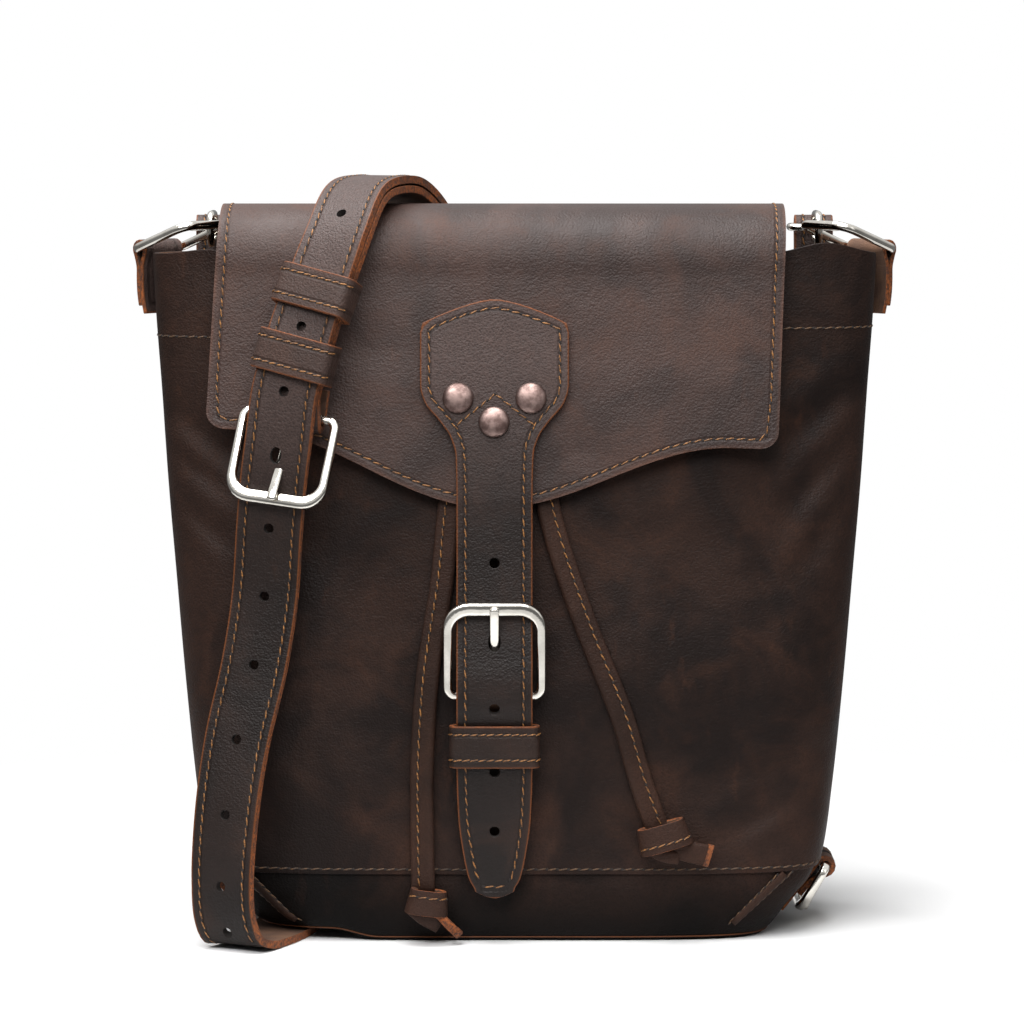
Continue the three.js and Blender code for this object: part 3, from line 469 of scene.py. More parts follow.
def sew(name, runs, slot="strap_leather", body="bag", pitch=STITCH_PITCH, thread=THREAD):
    """Stitches along runs, each a list of places on the leather with the way out of it."""
    seam_mesh = bmesh.new()
    few = bmesh.new()
    scrap = bpy.data.meshes.new("scrap")
    count = 0
    for run in runs:
        seam = Way([(p, out, 0.0) for p, out in run])
        stitches = max(1, round(seam.length / MM / pitch))
        for k in range(stitches):
            place, along, out, _, _ = seam.at((k + 0.5) / stitches * seam.length)
            leaning = Matrix.Rotation(STITCH_LEAN, 3, out) @ along
            bead(few, place + out * 0.06 * MM, leaning, out, THREAD_HALF, 0)
            place, along, out, _, _ = seam.at(k / stitches * seam.length)
            # A dark bead at the needle hole: painted shade of the hole.
            bead(few, place, along, out, HOLE_HALF, 1)
            if k % 12 == 11 or k == stitches - 1:
                few.to_mesh(scrap)
                seam_mesh.from_mesh(scrap)
                few.clear()
        count += stitches
    few.free()
    bpy.data.meshes.remove(scrap)
    print(name, count, "stitches")
    return keep(make_piece(name, seam_mesh, thread, HOLE_SHADE), slot, body=body)


def strip_seam(way, thick, side, inset=STITCH_INSET, start=0.0, end=None, step=2.0):
    """A run of stitches beside one edge of a strip, side -1 or 1."""
    end = way.length if end is None else end
    steps = max(2, round((end - start) / MM / step))
    run = []
    for i in range(steps + 1):
        place, _, wide, out, half = way.at(start + (end - start) * i / steps)
        run.append((place + (wide * side * (half - inset) + out * thick / 2) * MM, out))
    return run


print("seams have a stitch every", STITCH_PITCH, "mm")

# %% [markdown]
# Wires, buckle frames, prongs and sewn strings are one section carried along a path. The section is
# a circle pressed to shape. Its edges are extruded again and again, and each new ring is moved to
# the next frame of the path, so the operator makes all the faces.


# %% Sweeps
def sweep(bm, frames, section, closed=False):
    made = bmesh.ops.create_circle(bm, segments=len(section), radius=1)["verts"]
    for v, place in zip(made, section):
        v.co = (place[0], place[1], 0)
    bmesh.ops.transform(bm, matrix=frames[0], verts=made)
    first = list({e for v in made for e in v.link_edges})
    edges = first
    for last, after in zip(frames, frames[1:]):
        grown = bmesh.ops.extrude_edge_only(bm, edges=edges)["geom"]
        verts = {g for g in grown if isinstance(g, bmesh.types.BMVert)}
        edges = [g for g in grown if isinstance(g, bmesh.types.BMEdge) and set(g.verts) <= verts]
        bmesh.ops.transform(bm, matrix=after @ last.inverted(), verts=list(verts))
    if closed:
        bmesh.ops.bridge_loops(bm, edges=first + edges)
    else:
        bmesh.ops.edgeloop_fill(bm, edges=first)
        bmesh.ops.edgeloop_fill(bm, edges=edges)
    bmesh.ops.recalc_face_normals(bm, faces=bm.faces)


def press(sides, wide, thick, power=2.0):
    """A section of half width and half thickness: power 2 is round, 4 is nearly square."""
    turns = [2 * math.pi * k / sides for k in range(sides)]
    shape = []
    for a in turns:
        x = math.copysign(abs(math.cos(a)) ** (2 / power), math.cos(a))
        y = math.copysign(abs(math.sin(a)) ** (2 / power), math.sin(a))
        shape.append((wide * x, thick * y))
    return shape


def path_frames(places, wide, sizes=None, closed=False):
    """Frames along a path whose sections keep one side toward the direction wide."""
    last = len(places) - 1
    frames = []
    for i, place in enumerate(places):
        after = places[(i + 1) % len(places)] if closed else places[min(i + 1, last)]
        before = places[i - 1] if closed else places[max(i - 1, 0)]
        along = (after - before).normalized()
        x = (wide - along * wide.dot(along)).normalized()
        size = sizes[i] if sizes else (1.0, 1.0)
        axes = Matrix((x * size[0], along.cross(x) * size[1], along)).transposed() * MM
        frames.append(Matrix.Translation(place) @ axes.to_4x4())
    return frames


print("sweep helpers ready")

# %% [markdown]
# ## The body of the bag
# The body is a hollow leather shell, deep at the base and narrow at the mouth. Its outline at each
# height is a rounded rectangle, a superellipse. Two more things make it a soft bag and not a box:
# shallow hollows where the leather has sunk in, and long creases. Both are added to the outline as
# smooth bumps, so the same function also tells later pieces where the front of the bag is.

# %% Shape of the body
WALL = 2.2
SEAM_Z = 29
MOUTH_Z = 262
SECTION_ROWS = (  # height, half width, half depth, squareness
    (0, 97, 41, 5), (2.5, 99.6, 43.5, 5), (10, 105.3, 45.6, 5), (SEAM_Z, 119.3, 46.2, 5),
    (57, 123.6, 46, 4.6), (96, 127.6, 44.5, 4.2), (135, 131, 41, 3.9), (174, 134.3, 37, 3.6),
    (212, 136.8, 32.5, 3.4), (240, 138.8, 28.5, 3.3), (MOUTH_Z, 139.8, 26, 3.2),
)
DENT_ROWS = (  # x, z, reach along x and z, depth
    (-108, 186, 26, 30, 4.5), (112, 178, 24, 34, 4), (78, 62, 40, 22, 2.6), (-62, 92, 34, 40, 2.2),
)


def row_at(rows, z):
    """The values of a table at a height, on a smooth line through its rows."""
    last = len(rows) - 1
    i = next((k for k in range(last) if z <= rows[k + 1][0]), last - 1)
    low, high = rows[i], rows[i + 1]
    span = high[0] - low[0]
    t = min(1.0, max(0.0, (z - low[0]) / span))

    def slope(k, column):
        if not 0 < k < last:
            return 0.0
        a, b, c = rows[k - 1], rows[k], rows[k + 1]
        before, after = (b[column] - a[column]) / (b[0] - a[0]), (c[column] - b[column]) / (c[0] - b[0])
        return 2 * before * after / (before + after) if before * after > 0 else 0.0

    values = []
    for column in range(1, len(low)):
        a, b = low[column], high[column]
        start, end = slope(i, column) * span, slope(i + 1, column) * span
        bend = (3 * (b - a) - 2 * start - end) * t**2
        values.append(a + start * t + bend + (2 * (a - b) + start + end) * t**3)
    return values


def dent(x, z):
    return sum(d * math.exp(-(((x - cx) / w) ** 2) - ((z - cz) / h) ** 2) for cx, cz, w, h, d in DENT_ROWS)


def plain_depth(x, z):
    half, depth, square = row_at(SECTION_ROWS, z)
    reach = min(1.0, abs(x) / half)
    return depth * (1 - reach**square) ** (1 / square)


def front_y(x, z):
    return dent(x, z) - plain_depth(x, z)


print("front of the bag at mid height is y =", round(front_y(0, 135), 1), "mm")

# %% [markdown]
# A crease is a line on the front with a small ridge beside a small furrow. Their ends fade out. The
# leather also has a slow unevenness everywhere, from a noise that is the same on every run.

# %% Creases
CREASE_ROWS = (  # from x, z to x, z, half width, depth
    (-136, 205, -96, 176, 5, 1.8), (-134, 188, -100, 166, 4, 1.4), (-130, 168, -108, 150, 4, 1.2),
    (134, 214, 96, 186, 6, 1.9), (134, 196, 104, 164, 5, 1.5), (130, 170, 108, 140, 5, 1.3),
    (118, 60, 78, 40, 6, 1.4), (122, 74, 92, 62, 5, 0.9), (112, 44, 92, 32, 4, 0.8),
    (-60, 150, -40, 60, 14, 1.2), (60, 160, 84, 84, 16, 1.2), (-118, 70, -88, 40, 8, 1.2),
)


def crease(x, z):
    total = 0.0
    for ax, az, bx, bz, half, depth in CREASE_ROWS:
        dx, dz = bx - ax, bz - az
        length = math.hypot(dx, dz)
        along = ((x - ax) * dx + (z - az) * dz) / length**2
        if not -0.3 < along < 1.3:
            continue
        away = ((x - ax) * dz - (z - az) * dx) / length / half
        fade = math.exp(-((2 * along - 1) ** 4))
        total += depth * fade * (math.exp(-(away**2)) - 0.6 * math.exp(-((away - 1.6) ** 2)))
    return total


def unevenness(x, z, side):
    return 1.1 * noise.noise(Vector((x / 42, z / 42, 7 * side))) + 0.4 * noise.noise(Vector((x / 15, z / 18, side)))


def pushed_up(x, z):
    """How far the left of the base is pushed up by the strap that runs under it."""
    share = min(1.0, max(0.0, (-x - 52) / 18))
    return 3.9 * share * share * (3 - 2 * share) * max(0.0, 1 - z / 10)


def peaks(x, z, facing):
    """How far the front of the mouth stands higher near its two corners."""
    rise = 6 * math.exp(-(((x - 121) / 15) ** 2)) + 2.5 * math.exp(-(((x + 119) / 12) ** 2))
    return rise * facing * min(1.0, max(0.0, (z - 240) / (MOUTH_Z - 240)))


def body_place(turn, z, inset=0.0):
    """A place on the outside of the body, by its turn about the upright and its height."""
    half, depth, square = row_at(SECTION_ROWS, z)
    c, s = math.cos(turn), math.sin(turn)
    reach = (abs(c) ** square + abs(s) ** square) ** (-1 / square)
    x, y = (half - inset) * reach * c, (depth - inset) * reach * s
    facing = max(0.0, -y / depth)
    soft = facing * (dent(x, z) + crease(x, z))
    fade = min(1.0, (z - SEAM_Z + 8) / 20) if z > SEAM_Z - 8 else 0.0
    wave = fade * unevenness(x, z, 1 if y < 0 else 2)
    return x, y + soft + wave * (y / depth), z + pushed_up(x, z) + peaks(x, z, facing)


print("creases", len(CREASE_ROWS))

# %% [markdown]
# The shell starts as a flat grid, one side of which is the way round the bag and the other its
# height. Each vertex is moved to its place on the body, and the two ends are welded together. The
# wall is given its thickness inward, so the outside keeps the size of the solid. Round the mouth
# the top is turned in and sewn down, which is the stitch line that shows beside the flap.

# %% Body
AROUND = 320
BODY_LOW = 26.4
HEM_Z = 234


def shell(name, low, high, rows, inset, material):
    bm = bmesh.new()
    bmesh.ops.create_grid(bm, x_segments=AROUND, y_segments=rows, size=0.5)
    for v in bm.verts:
        turn = -math.pi / 2 + v.co.x * 2 * math.pi
        z = low + (v.co.y + 0.5) * (high - low)
        v.co = spot(*body_place(turn, z, inset))
    bmesh.ops.remove_doubles(bm, verts=bm.verts, dist=0.01 * MM)
    bmesh.ops.recalc_face_normals(bm, faces=bm.faces)
    outward = sum(f.normal.dot(f.calc_center_median() - spot(0, 0, 140)) for f in bm.faces)
    if outward < 0:
        bmesh.ops.reverse_faces(bm, faces=bm.faces)
    return thicken(make_piece(name, bm, material, material, SUEDE), WALL, -1.0)


body = keep(shell("body_shell", BODY_LOW, MOUTH_Z, 116, 0.0, BODY_HIDE), "body_leather", "body_front", "body_back")


def round_seam(level, sag=0.0, inset=0.0, count=360):
    """A seam round the body that sags at its left."""
    run = []
    for k in range(count + 1):
        turn = -math.pi / 2 + 2 * math.pi * k / count
        share = min(1.0, max(0.0, -1.4 * math.cos(turn) - 0.1))
        z = level - sag * share * share * (3 - 2 * share)
        x, y, _ = body_place(turn, z, inset)
        ahead, behind = body_place(turn + 0.02, z, inset), body_place(turn - 0.02, z, inset)
        out = Vector((ahead[1] - behind[1], behind[0] - ahead[0], 0)).normalized()
        run.append((spot(x, y, z), out))
    return run


sew("seam_hem", [round_seam(HEM_Z, 3.5)], "body_leather", thread=DULL_THREAD)
sew("seam_base", [round_seam(28.4)], "body_leather", thread=DULL_THREAD)

# %% [markdown]
# ## The base
# The base is a shallow box of leather. The body laps over its top edge, so the base is made one
# wall thinner there. Its floor is an inset of its lowest ring, which keeps the mesh in quads.

# %% Base
bm = bmesh.new()
bmesh.ops.create_grid(bm, x_segments=AROUND, y_segments=18, size=0.5)
for v in bm.verts:
    turn = -math.pi / 2 + v.co.x * 2 * math.pi
    z = (v.co.y + 0.5) * SEAM_Z
    lap = 1.3 * min(1.0, max(0.0, (z - 20) / 7))
    v.co = spot(*body_place(turn, z, lap))
bmesh.ops.remove_doubles(bm, verts=bm.verts, dist=0.01 * MM)
floor_rim = [e for e in bm.edges if e.is_boundary and e.verts[0].co.z < 10 * MM]
bmesh.ops.edgeloop_fill(bm, edges=floor_rim)
floor = [f for f in bm.faces if len(f.verts) > 4]
bmesh.ops.inset_region(bm, faces=floor, thickness=6 * MM)
bmesh.ops.recalc_face_normals(bm, faces=bm.faces)
if sum(f.normal.dot(f.calc_center_median() - spot(0, 0, 15)) for f in bm.faces) < 0:
    bmesh.ops.reverse_faces(bm, faces=bm.faces)
base = keep(thicken(make_piece("base_box", bm, SHADED_BASE_HIDE, EDGE, SUEDE), WALL, -1.0), "body_leather", "base")

# %% [markdown]
# Each corner of the base is drawn together by a slanted seam: two rows of stitches with a low welt of
# leather between them. The floor is a panel of its own, whose raw edge shows as a thin line.

# %% Base corners
CORNER_ROWS = ((100.6, 25.3, 81.7, 6.2), (106.4, 26, 85.7, 7.2))  # from x, z to x, z, inner and outer row


def mix(a, b, share):
    return a + (b - a) * share


def corner_spot(x, z, side):
    """A place on the base near a corner, with the way out of the leather."""

    def place(x, z):
        return Vector((x, side * plain_depth(x, z), z + pushed_up(x, z)))

    out = (place(x + 0.5, z) - place(x - 0.5, z)).cross(place(x, z + 0.5) - place(x, z - 0.5)).normalized()
    return spot(*place(x, z)), out if out.y * side > 0 else -out


welts = bmesh.new()
corner_runs = []
for across, side in ((-1, -1), (1, -1), (-1, 1), (1, 1)):
    rows = [
        [corner_spot(across * mix(ax, bx, k / 12), mix(az, bz, k / 12), side) for k in range(13)]
        for ax, az, bx, bz in CORNER_ROWS
    ]
    corner_runs += rows
    middle = [(a + b) / 2 + (m + n) * 0.1 * MM for (a, m), (b, n) in zip(*rows)]
    sweep(welts, path_frames(middle, rows[1][6][0] - rows[0][6][0]), press(12, 1.5, 0.7, 2.4))
keep(make_piece("base_corner_welts", welts, STRING_HIDE), "body_leather")
sew("seam_base_corners", corner_runs, "body_leather", pitch=3.2, thread=DULL_THREAD)

rim_line = [spot(*body_place(2 * math.pi * k / 240, 1.6, -0.1)) for k in range(241)]
bm = bmesh.new()
sweep(bm, path_frames(rim_line, Vector((0, 0, 1))), press(8, 0.3, 0.3, 2))
keep(make_piece("base_floor_edge", bm, KEEPER_HIDE), "body_leather")

# %% [markdown]
# ## The flap
# The flap is one sheet of leather. It is sewn to the back of the body, folds over the mouth in a
# round ridge and hangs down the front to a lower edge that dips in the middle. Its surface is given
# by two numbers: how far across, from -1 to 1, and how far along, from the back seam at 0 through
# the ridge, between 1 and 2, to the front edge at 3. A grid of vertices is then moved onto it.

# %% Shape of the flap
RIDGE_Z = 281
FLAP_LEFT, FLAP_RIGHT, LEAN_LEFT, LEAN_RIGHT = -112.4, 103.6, 0.059, 0.04
FLAP_BACK_SEAM, FLAP_FOLD, FLAP_STAND, FLAP_FOLLOW = 236, 255, 5.6, 0.75
EDGE_LEVEL, EDGE_SLOPE, EDGE_CENTRE, EDGE_HALF, EDGE_DROP, EDGE_CORNER = 192.5, -0.037, -9, 92, 26, 7
FLAP_HALF = (FLAP_RIGHT - FLAP_LEFT) / 2



def flap_x(v, z):
    drop = RIDGE_Z - z
    return mix(FLAP_LEFT - LEAN_LEFT * drop, FLAP_RIGHT - LEAN_RIGHT * drop, (v + 1) / 2)


def flap_front_y(x, z):
    return -plain_depth(FLAP_FOLLOW * x, z) - FLAP_STAND


def flap_edge_z(v):
    x = flap_x(v, EDGE_LEVEL)
    reach = min(1.0, abs(x - EDGE_CENTRE) / EDGE_HALF)
    dip = EDGE_DROP * (0.5 + 0.5 * math.cos(math.pi * reach))
    past = max(0.0, abs(v) * FLAP_HALF - (FLAP_HALF - EDGE_CORNER))
    lift = EDGE_CORNER - math.sqrt(EDGE_CORNER**2 - past**2)
    return EDGE_LEVEL + EDGE_SLOPE * x - dip + 0.92 * lift


def flap_place(v, q):
    top = flap_x(v, RIDGE_Z)
    rear = plain_depth(FLAP_FOLLOW * top, FLAP_FOLD) + 0.3 + WALL
    if q <= 1:
        z = mix(FLAP_BACK_SEAM, FLAP_FOLD, q)
        return spot(top, plain_depth(FLAP_FOLLOW * top, z) + 0.3 + WALL, z)
    if q >= 2:
        z = mix(FLAP_FOLD, flap_edge_z(v), q - 2)
        x = flap_x(v, z)
        wave = 0.9 * noise.noise(Vector((x / 34, z / 30, 3.3))) * min(1.0, 2 * (q - 2))
        return spot(x, flap_front_y(x, z) - abs(wave), z)
    a = math.pi * (q - 1)
    front = flap_front_y(flap_x(v, FLAP_FOLD), FLAP_FOLD)
    z = FLAP_FOLD + (RIDGE_Z - WALL / 2 - FLAP_FOLD) * math.sin(a) ** 0.8
    bend = math.copysign(abs(math.cos(a)) ** 0.8, math.cos(a))
    return spot(mix(top, flap_x(v, z), q - 1), (rear + front) / 2 + (rear - front) / 2 * bend, z)


def flap_out(v, q):
    """The way out of the flap, from two short steps on its surface."""
    step = 0.01
    across = flap_place(min(v + step, 1), q) - flap_place(max(v - step, -1), q)
    along = flap_place(v, min(q + step, 3)) - flap_place(v, max(q - step, 0))
    return along.cross(across).normalized()


print("flap is", round(2 * FLAP_HALF), "mm wide, lowest edge at", round(flap_edge_z(0), 1), "mm")

# %% Flap
FLAP_COLUMNS = 120
flap_rows = [k / 8 for k in range(8)] + [1 + k / 44 for k in range(44)] + [2 + k / 72 for k in range(73)]
bm = bmesh.new()
bmesh.ops.create_grid(bm, x_segments=FLAP_COLUMNS, y_segments=len(flap_rows) - 1, size=0.5)
rim = bm.verts.layers.float.new("rim")
for vert in bm.verts:
    v = math.sin(vert.co.x * math.pi)
    q = flap_rows[round((vert.co.y + 0.5) * (len(flap_rows) - 1))]
    vert[rim] = (1 - abs(v)) * FLAP_HALF
    if q > 2:
        vert[rim] = min(vert[rim], (3 - q) * (FLAP_FOLD - flap_edge_z(v)))
    vert.co = flap_place(v, q)
bmesh.ops.reverse_faces(bm, faces=bm.faces)
flap = keep(thicken(make_piece("flap_sheet", bm, FLAP_HIDE, EDGE, SUEDE), WALL), "body_leather", "flap")

# %% [markdown]
# One row of stitches follows the two sides and the lower edge of the flap. It turns the corners in a
# small round, so a few points of a bent line join the side runs to the lower run.

# %% Flap seam
SIDE_V = 1 - STITCH_INSET / FLAP_HALF


def flap_spot(v, q):
    out = flap_out(v, q)
    return flap_place(v, q) + out * (WALL / 2 * MM), out


def low_q(v, inset):
    step = 0.01
    rise = flap_edge_z(min(v + step, 1)) - flap_edge_z(max(v - step, -1))
    slope = rise / (2 * step * FLAP_HALF)
    return 3 - inset * math.hypot(1, slope) / (FLAP_FOLD - flap_edge_z(v))


def flap_side(v):
    return [flap_spot(v, 3 * k / 90 * 0.985) for k in range(84)]


CORNER_V = SIDE_V - 4.5 / FLAP_HALF
low_run = [flap_spot(v, low_q(v, STITCH_INSET)) for v in (CORNER_V * (2 * k / 120 - 1) for k in range(121))]


def flap_corner(v):
    share = SIDE_V - 1.2 / FLAP_HALF
    return [flap_spot(math.copysign(share, v), low_q(math.copysign(CORNER_V, v), STITCH_INSET + 1.3))]


left_side = [p for p in flap_side(-SIDE_V) if p[0].z > low_run[0][0].z + 4 * MM or p[0].y > 0]
right_side = [p for p in flap_side(SIDE_V) if p[0].z > low_run[-1][0].z + 4 * MM or p[0].y > 0]
flap_run = left_side + flap_corner(-1) + low_run + flap_corner(1) + right_side[::-1]
sew("seam_flap", [flap_run], "body_leather")

# %% [markdown]
# ## The closure strap
# A shield of leather is sewn and riveted to the flap, and runs down from there as the strap of the
# buckle. It is cut flat in the plane of the front, with its holes, and then laid on the flap and on
# the bag below by moving each vertex back to the depth that the leather has there.

# %% Shape of the closure strap
STRAP_THICK = 3
CLOSURE_X = -7.6
CLOSURE_STAND = WALL / 2 + 0.6 + STRAP_THICK / 2
CLOSURE_CUT = (  # height, half width, crown; from the tip up
    (21, 7.4, -2.6), (26, 9.8, 0), (36, 12, 0), (50, 13.8, 0), (69, 14.4, 0), (170, 14.4, 0), (187, 14.8, 0),
    (194, 16.8, 0), (200, 21, 0), (207, 26.6, 0), (213, 28.2, 0), (233, 28.2, 7), (236.6, 27.4, 9),
)
FREE_TOP = 170
CLOSURE_LIE = (  # height, depth of the strap's middle; from the tip up
    (21, -51.2), (26, -51.4), (36, -51.8), (50, -52.2), (69, -52.6), (84, -53), (94, -55.4),
    (100, -55.4), (112, -53.4), (129, -50), (152, -47.4),
    (FREE_TOP, flap_front_y(CLOSURE_X, FREE_TOP) - CLOSURE_STAND),
)


def closure_y(x, z):
    if z >= FREE_TOP:
        return flap_front_y(x, z) - CLOSURE_STAND
    return row_at(CLOSURE_LIE, z)[0]


def closure_out(x, z):
    dx = closure_y(x + 0.5, z) - closure_y(x - 0.5, z)
    dz = closure_y(x, z + 0.5) - closure_y(x, z - 0.5)
    return Vector((dx, -1, dz)).normalized()


def closure_spot(x, z):
    out = closure_out(x, z)
    return spot(x, closure_y(x, z), z) + out * (STRAP_THICK / 2 * MM), out


def closure_outline(v, level):
    half, crown = row_at(CLOSURE_CUT, level)
    return CLOSURE_X + half * v, level + crown * (1 - abs(v) ** 1.5)


print("closure strap runs from z =", CLOSURE_CUT[0][0] - 2.6, "to", CLOSURE_CUT[-1][0] + 9)

# %% Closure strap
CLOSURE_HOLES = (146.3, 91.8, 67.3, 44.3)
PRONG_HOLE = 116.4
CLOSURE_ROWS_COUNT = 118
low_level, high_level = CLOSURE_CUT[0][0], CLOSURE_CUT[-1][0]
bm = bmesh.new()
bmesh.ops.create_grid(bm, x_segments=15, y_segments=CLOSURE_ROWS_COUNT, size=0.5)
for vert in bm.verts:
    level = mix(low_level, high_level, vert.co.y + 0.5)
    x, z = closure_outline(2 * vert.co.x, level)
    vert.co = (x, z, 0)
for z in CLOSURE_HOLES:
    punch(bm, CLOSURE_X, z, 2.0)
punch(bm, CLOSURE_X, PRONG_HOLE, 2.3, 1.5)
face_up(bm)
rim = bm.verts.layers.float.new("rim")
for vert in bm.verts:
    x, z = vert.co.x, vert.co.y
    half, crown = row_at(CLOSURE_CUT, min(max(z, low_level), high_level))
    slope = (row_at(CLOSURE_CUT, min(z + 1, high_level))[0] - row_at(CLOSURE_CUT, max(z - 1, low_level))[0]) / 2
    share = min(1.0, abs(x - CLOSURE_X) / half)
    top = high_level + 9 * (1 - share**1.5) - z
    vert[rim] = min((half - abs(x - CLOSURE_X)) / math.hypot(1, slope), 0.94 * top, z - low_level + 2.6)
    vert.co = spot(x, closure_y(x, z), z)
closure_strap = thicken(make_piece("closure_strip", bm, STRAP_HIDE, EDGE, SUEDE), STRAP_THICK, soft=0.5)
keep(closure_strap, "strap_leather", "closure_strap")

# %% [markdown]
# The seam of the closure strap is its own outline, drawn again a little way in. A second short seam
# makes a V between the rivets, where the shield is sewn through to the flap.


# %% Closure seams
def draw_in(outline, inset):
    """An outline of x and z drawn again inside itself; it runs anticlockwise."""
    inner = []
    for i, (x, z) in enumerate(outline):
        ax, az = outline[max(i - 1, 0)]
        bx, bz = outline[min(i + 1, len(outline) - 1)]
        length = math.hypot(bx - ax, bz - az)
        inner.append((x - (bz - az) / length * inset, z + (bx - ax) / length * inset))
    return inner


levels = [mix(low_level + 3.2, high_level - 2.5, k / 110) for k in range(111)]
right_side = [closure_outline(1, level) for level in levels]
top_edge = [closure_outline(0.97 - 1.94 * k / 24, high_level) for k in range(25)]
left_side = [closure_outline(-1, level) for level in reversed(levels)]
closure_run = [closure_spot(x, z) for x, z in draw_in(right_side + top_edge + left_side, STITCH_INSET)]
tip_run = [closure_spot(CLOSURE_X + 4.2 * (k / 3 - 1), 23.2 - 0.3 * (1 - abs(k / 3 - 1))) for k in range(7)]
v_run = [(-22.3, 198.0), (-14.8, 204.0), (-7.2, 210.0), (0.2, 204.0), (7.6, 198.0)]
sew("seam_closure", [closure_run, tip_run])
sew("seam_shield", [[closure_spot(x, z) for x, z in v_run[:3]], [closure_spot(x, z) for x, z in v_run[2:]]])

# %% [markdown]
# ## Rivets
# A rivet is a shallow dome that turned on a lathe would make, so its half outline is spun round its
# axis. The full turn is merged, and the dome is then set square on the leather.

# %% Rivets
RIVETS = {"rivet_left": (-21.4, 208.4), "rivet_right": (6.2, 208.4), "rivet_low": (-7.8, 199.4)}
RIVET_OUTLINE = (
    (0, 2.4), (1.5, 2.35), (3, 2.2), (4.2, 1.9), (5.1, 1.4), (5.6, 0.85), (5.85, 0.35), (5.9, 0.05),
    (5.7, -0.2), (5.3, -0.3), (0, -0.3),
)
for name, (x, z) in RIVETS.items():
    bm = bmesh.new()
    outline = [bm.verts.new((r, 0, h)) for r, h in RIVET_OUTLINE]
    edges = [bm.edges.new(pair) for pair in zip(outline, outline[1:])]
    turn = {"axis": (0, 0, 1), "cent": (0, 0, 0), "angle": 2 * math.pi, "steps": 40, "use_merge": True}
    bmesh.ops.spin(bm, geom=outline + edges, **turn)
    bmesh.ops.remove_doubles(bm, verts=bm.verts, dist=0.001)
    bmesh.ops.recalc_face_normals(bm, faces=bm.faces)
    place, out = closure_spot(x, z)
    seat = Matrix.Translation(place + out * 0.5 * MM) @ out.to_track_quat("Z", "Y").to_matrix().to_4x4()
    bmesh.ops.transform(bm, matrix=seat @ Matrix.Scale(MM, 4), verts=bm.verts)
    keep(make_piece(name + "_dome", bm, COPPER), "copper", name)

# %% [markdown]
# ## Buckles
# A buckle is a bar bent into a rounded rectangle, polished flat on its faces. The heel bar is under
# the leather and the end bar lies over the strap. The prong turns on the heel bar with a rolled eye
# and rests on the end bar. Both are sections carried along a path, in a frame whose X is along the
# heel bar, Y runs toward the end bar and Z faces out.


# %% Buckle helpers
def seat_of(origin, x, y):
    """A frame in millimetres at a place, from the directions of its X and Y."""
    x = x.normalized()
    y = (y - x * y.dot(x)).normalized()
    return Matrix.Translation(origin) @ (Matrix((x, y, x.cross(y))).transposed() * MM).to_4x4()


def rounded_loop(left, right, low, high, low_round, high_round, turn=8):
    corners = (
        (right - low_round, low + low_round, low_round, -90), (right - high_round, high - high_round, high_round, 0),
        (left + high_round, high - high_round, high_round, 90), (left + low_round, low + low_round, low_round, 180),
    )
    places = []
    for x, y, radius, start in corners:
        for k in range(turn + 1):
            a = math.radians(start + 90 * k / turn)
            places.append(Vector((x + radius * math.cos(a), y + radius * math.sin(a), 0)))
    return places


def wire_loop(bm, seat, loop, section, sizes=None):
    out = seat.to_3x3().col[2].normalized()
    sweep(bm, path_frames([seat @ p for p in loop], out, sizes, closed=True), section, closed=True)


def buckle(name, seat, half, length, node, body="bag", end_bar=1.5):
    loop = rounded_loop(-half, half, 0, length, 3.2, 8)
    sizes = [(1.0, mix(1.0, end_bar, min(1.0, max(0.0, (p.y - length + 8) / 7)))) for p in loop]
    bm = bmesh.new()
    wire_loop(bm, seat, loop, press(20, 1.75, 1.7, 3.2), sizes)
    return keep(make_piece(name, bm, NICKEL), "nickel", node, body=body)


def prong(name, seat, length, dip, node, body="bag"):
    bm = bmesh.new()
    eye = [Vector((0, 2.7 * math.cos(a), 2.7 * math.sin(a))) for a in (math.pi * k / 12 for k in range(24))]
    across = seat.to_3x3().col[0].normalized()
    sweep(bm, path_frames([seat @ p for p in eye], across, closed=True), press(12, 1.9, 0.6, 3), closed=True)
    rise = max(1.0, -dip)
    way = ((2.5, -0.4 * dip), (0.4 * length, -dip), (0.66 * length, rise), (length - 1, 3.35), (length + 1.4, 3.4))
    places = smooth_way([seat @ Vector((0, y, z)) for y, z in way], 8)
    sizes = [(1.0, 1.0)] * (len(places) - 3) + [(0.92, 0.95), (0.7, 0.85), (0.3, 0.5)]
    sweep(bm, path_frames(places, across, sizes), press(16, 1.8, 1.0, 2.8))
    return keep(make_piece(name, bm, NICKEL), "nickel", node, body=body)


print("buckle helpers ready")

# %% Front buckle
RIGHT, UP, FORWARD = Vector((1, 0, 0)), Vector((0, 0, 1)), Vector((0, -1, 0))
FRONT_HEEL_Z, FRONT_END_Z = 96, 129.4
front_heel = spot(CLOSURE_X, front_y(CLOSURE_X, FRONT_HEEL_Z) - 4.9, FRONT_HEEL_Z)
front_end = spot(CLOSURE_X, closure_y(CLOSURE_X, FRONT_END_Z) - 4.2, FRONT_END_Z)
front_seat = seat_of(front_heel, RIGHT, front_end - front_heel)
front_length = (front_end - front_heel).length / MM
buckle("buckle_front", front_seat, 17.7, front_length, "front_buckle")
prong("prong_front", front_seat, front_length, 1.2, "front_prong")
print("front buckle is", round(front_length, 1), "mm from bar to bar")

# %% [markdown]
# A leather tab holds each buckle. It is a strip that comes up along the bag, goes round the bar and
# lies on itself again. A slot lets the prong through at the fold.


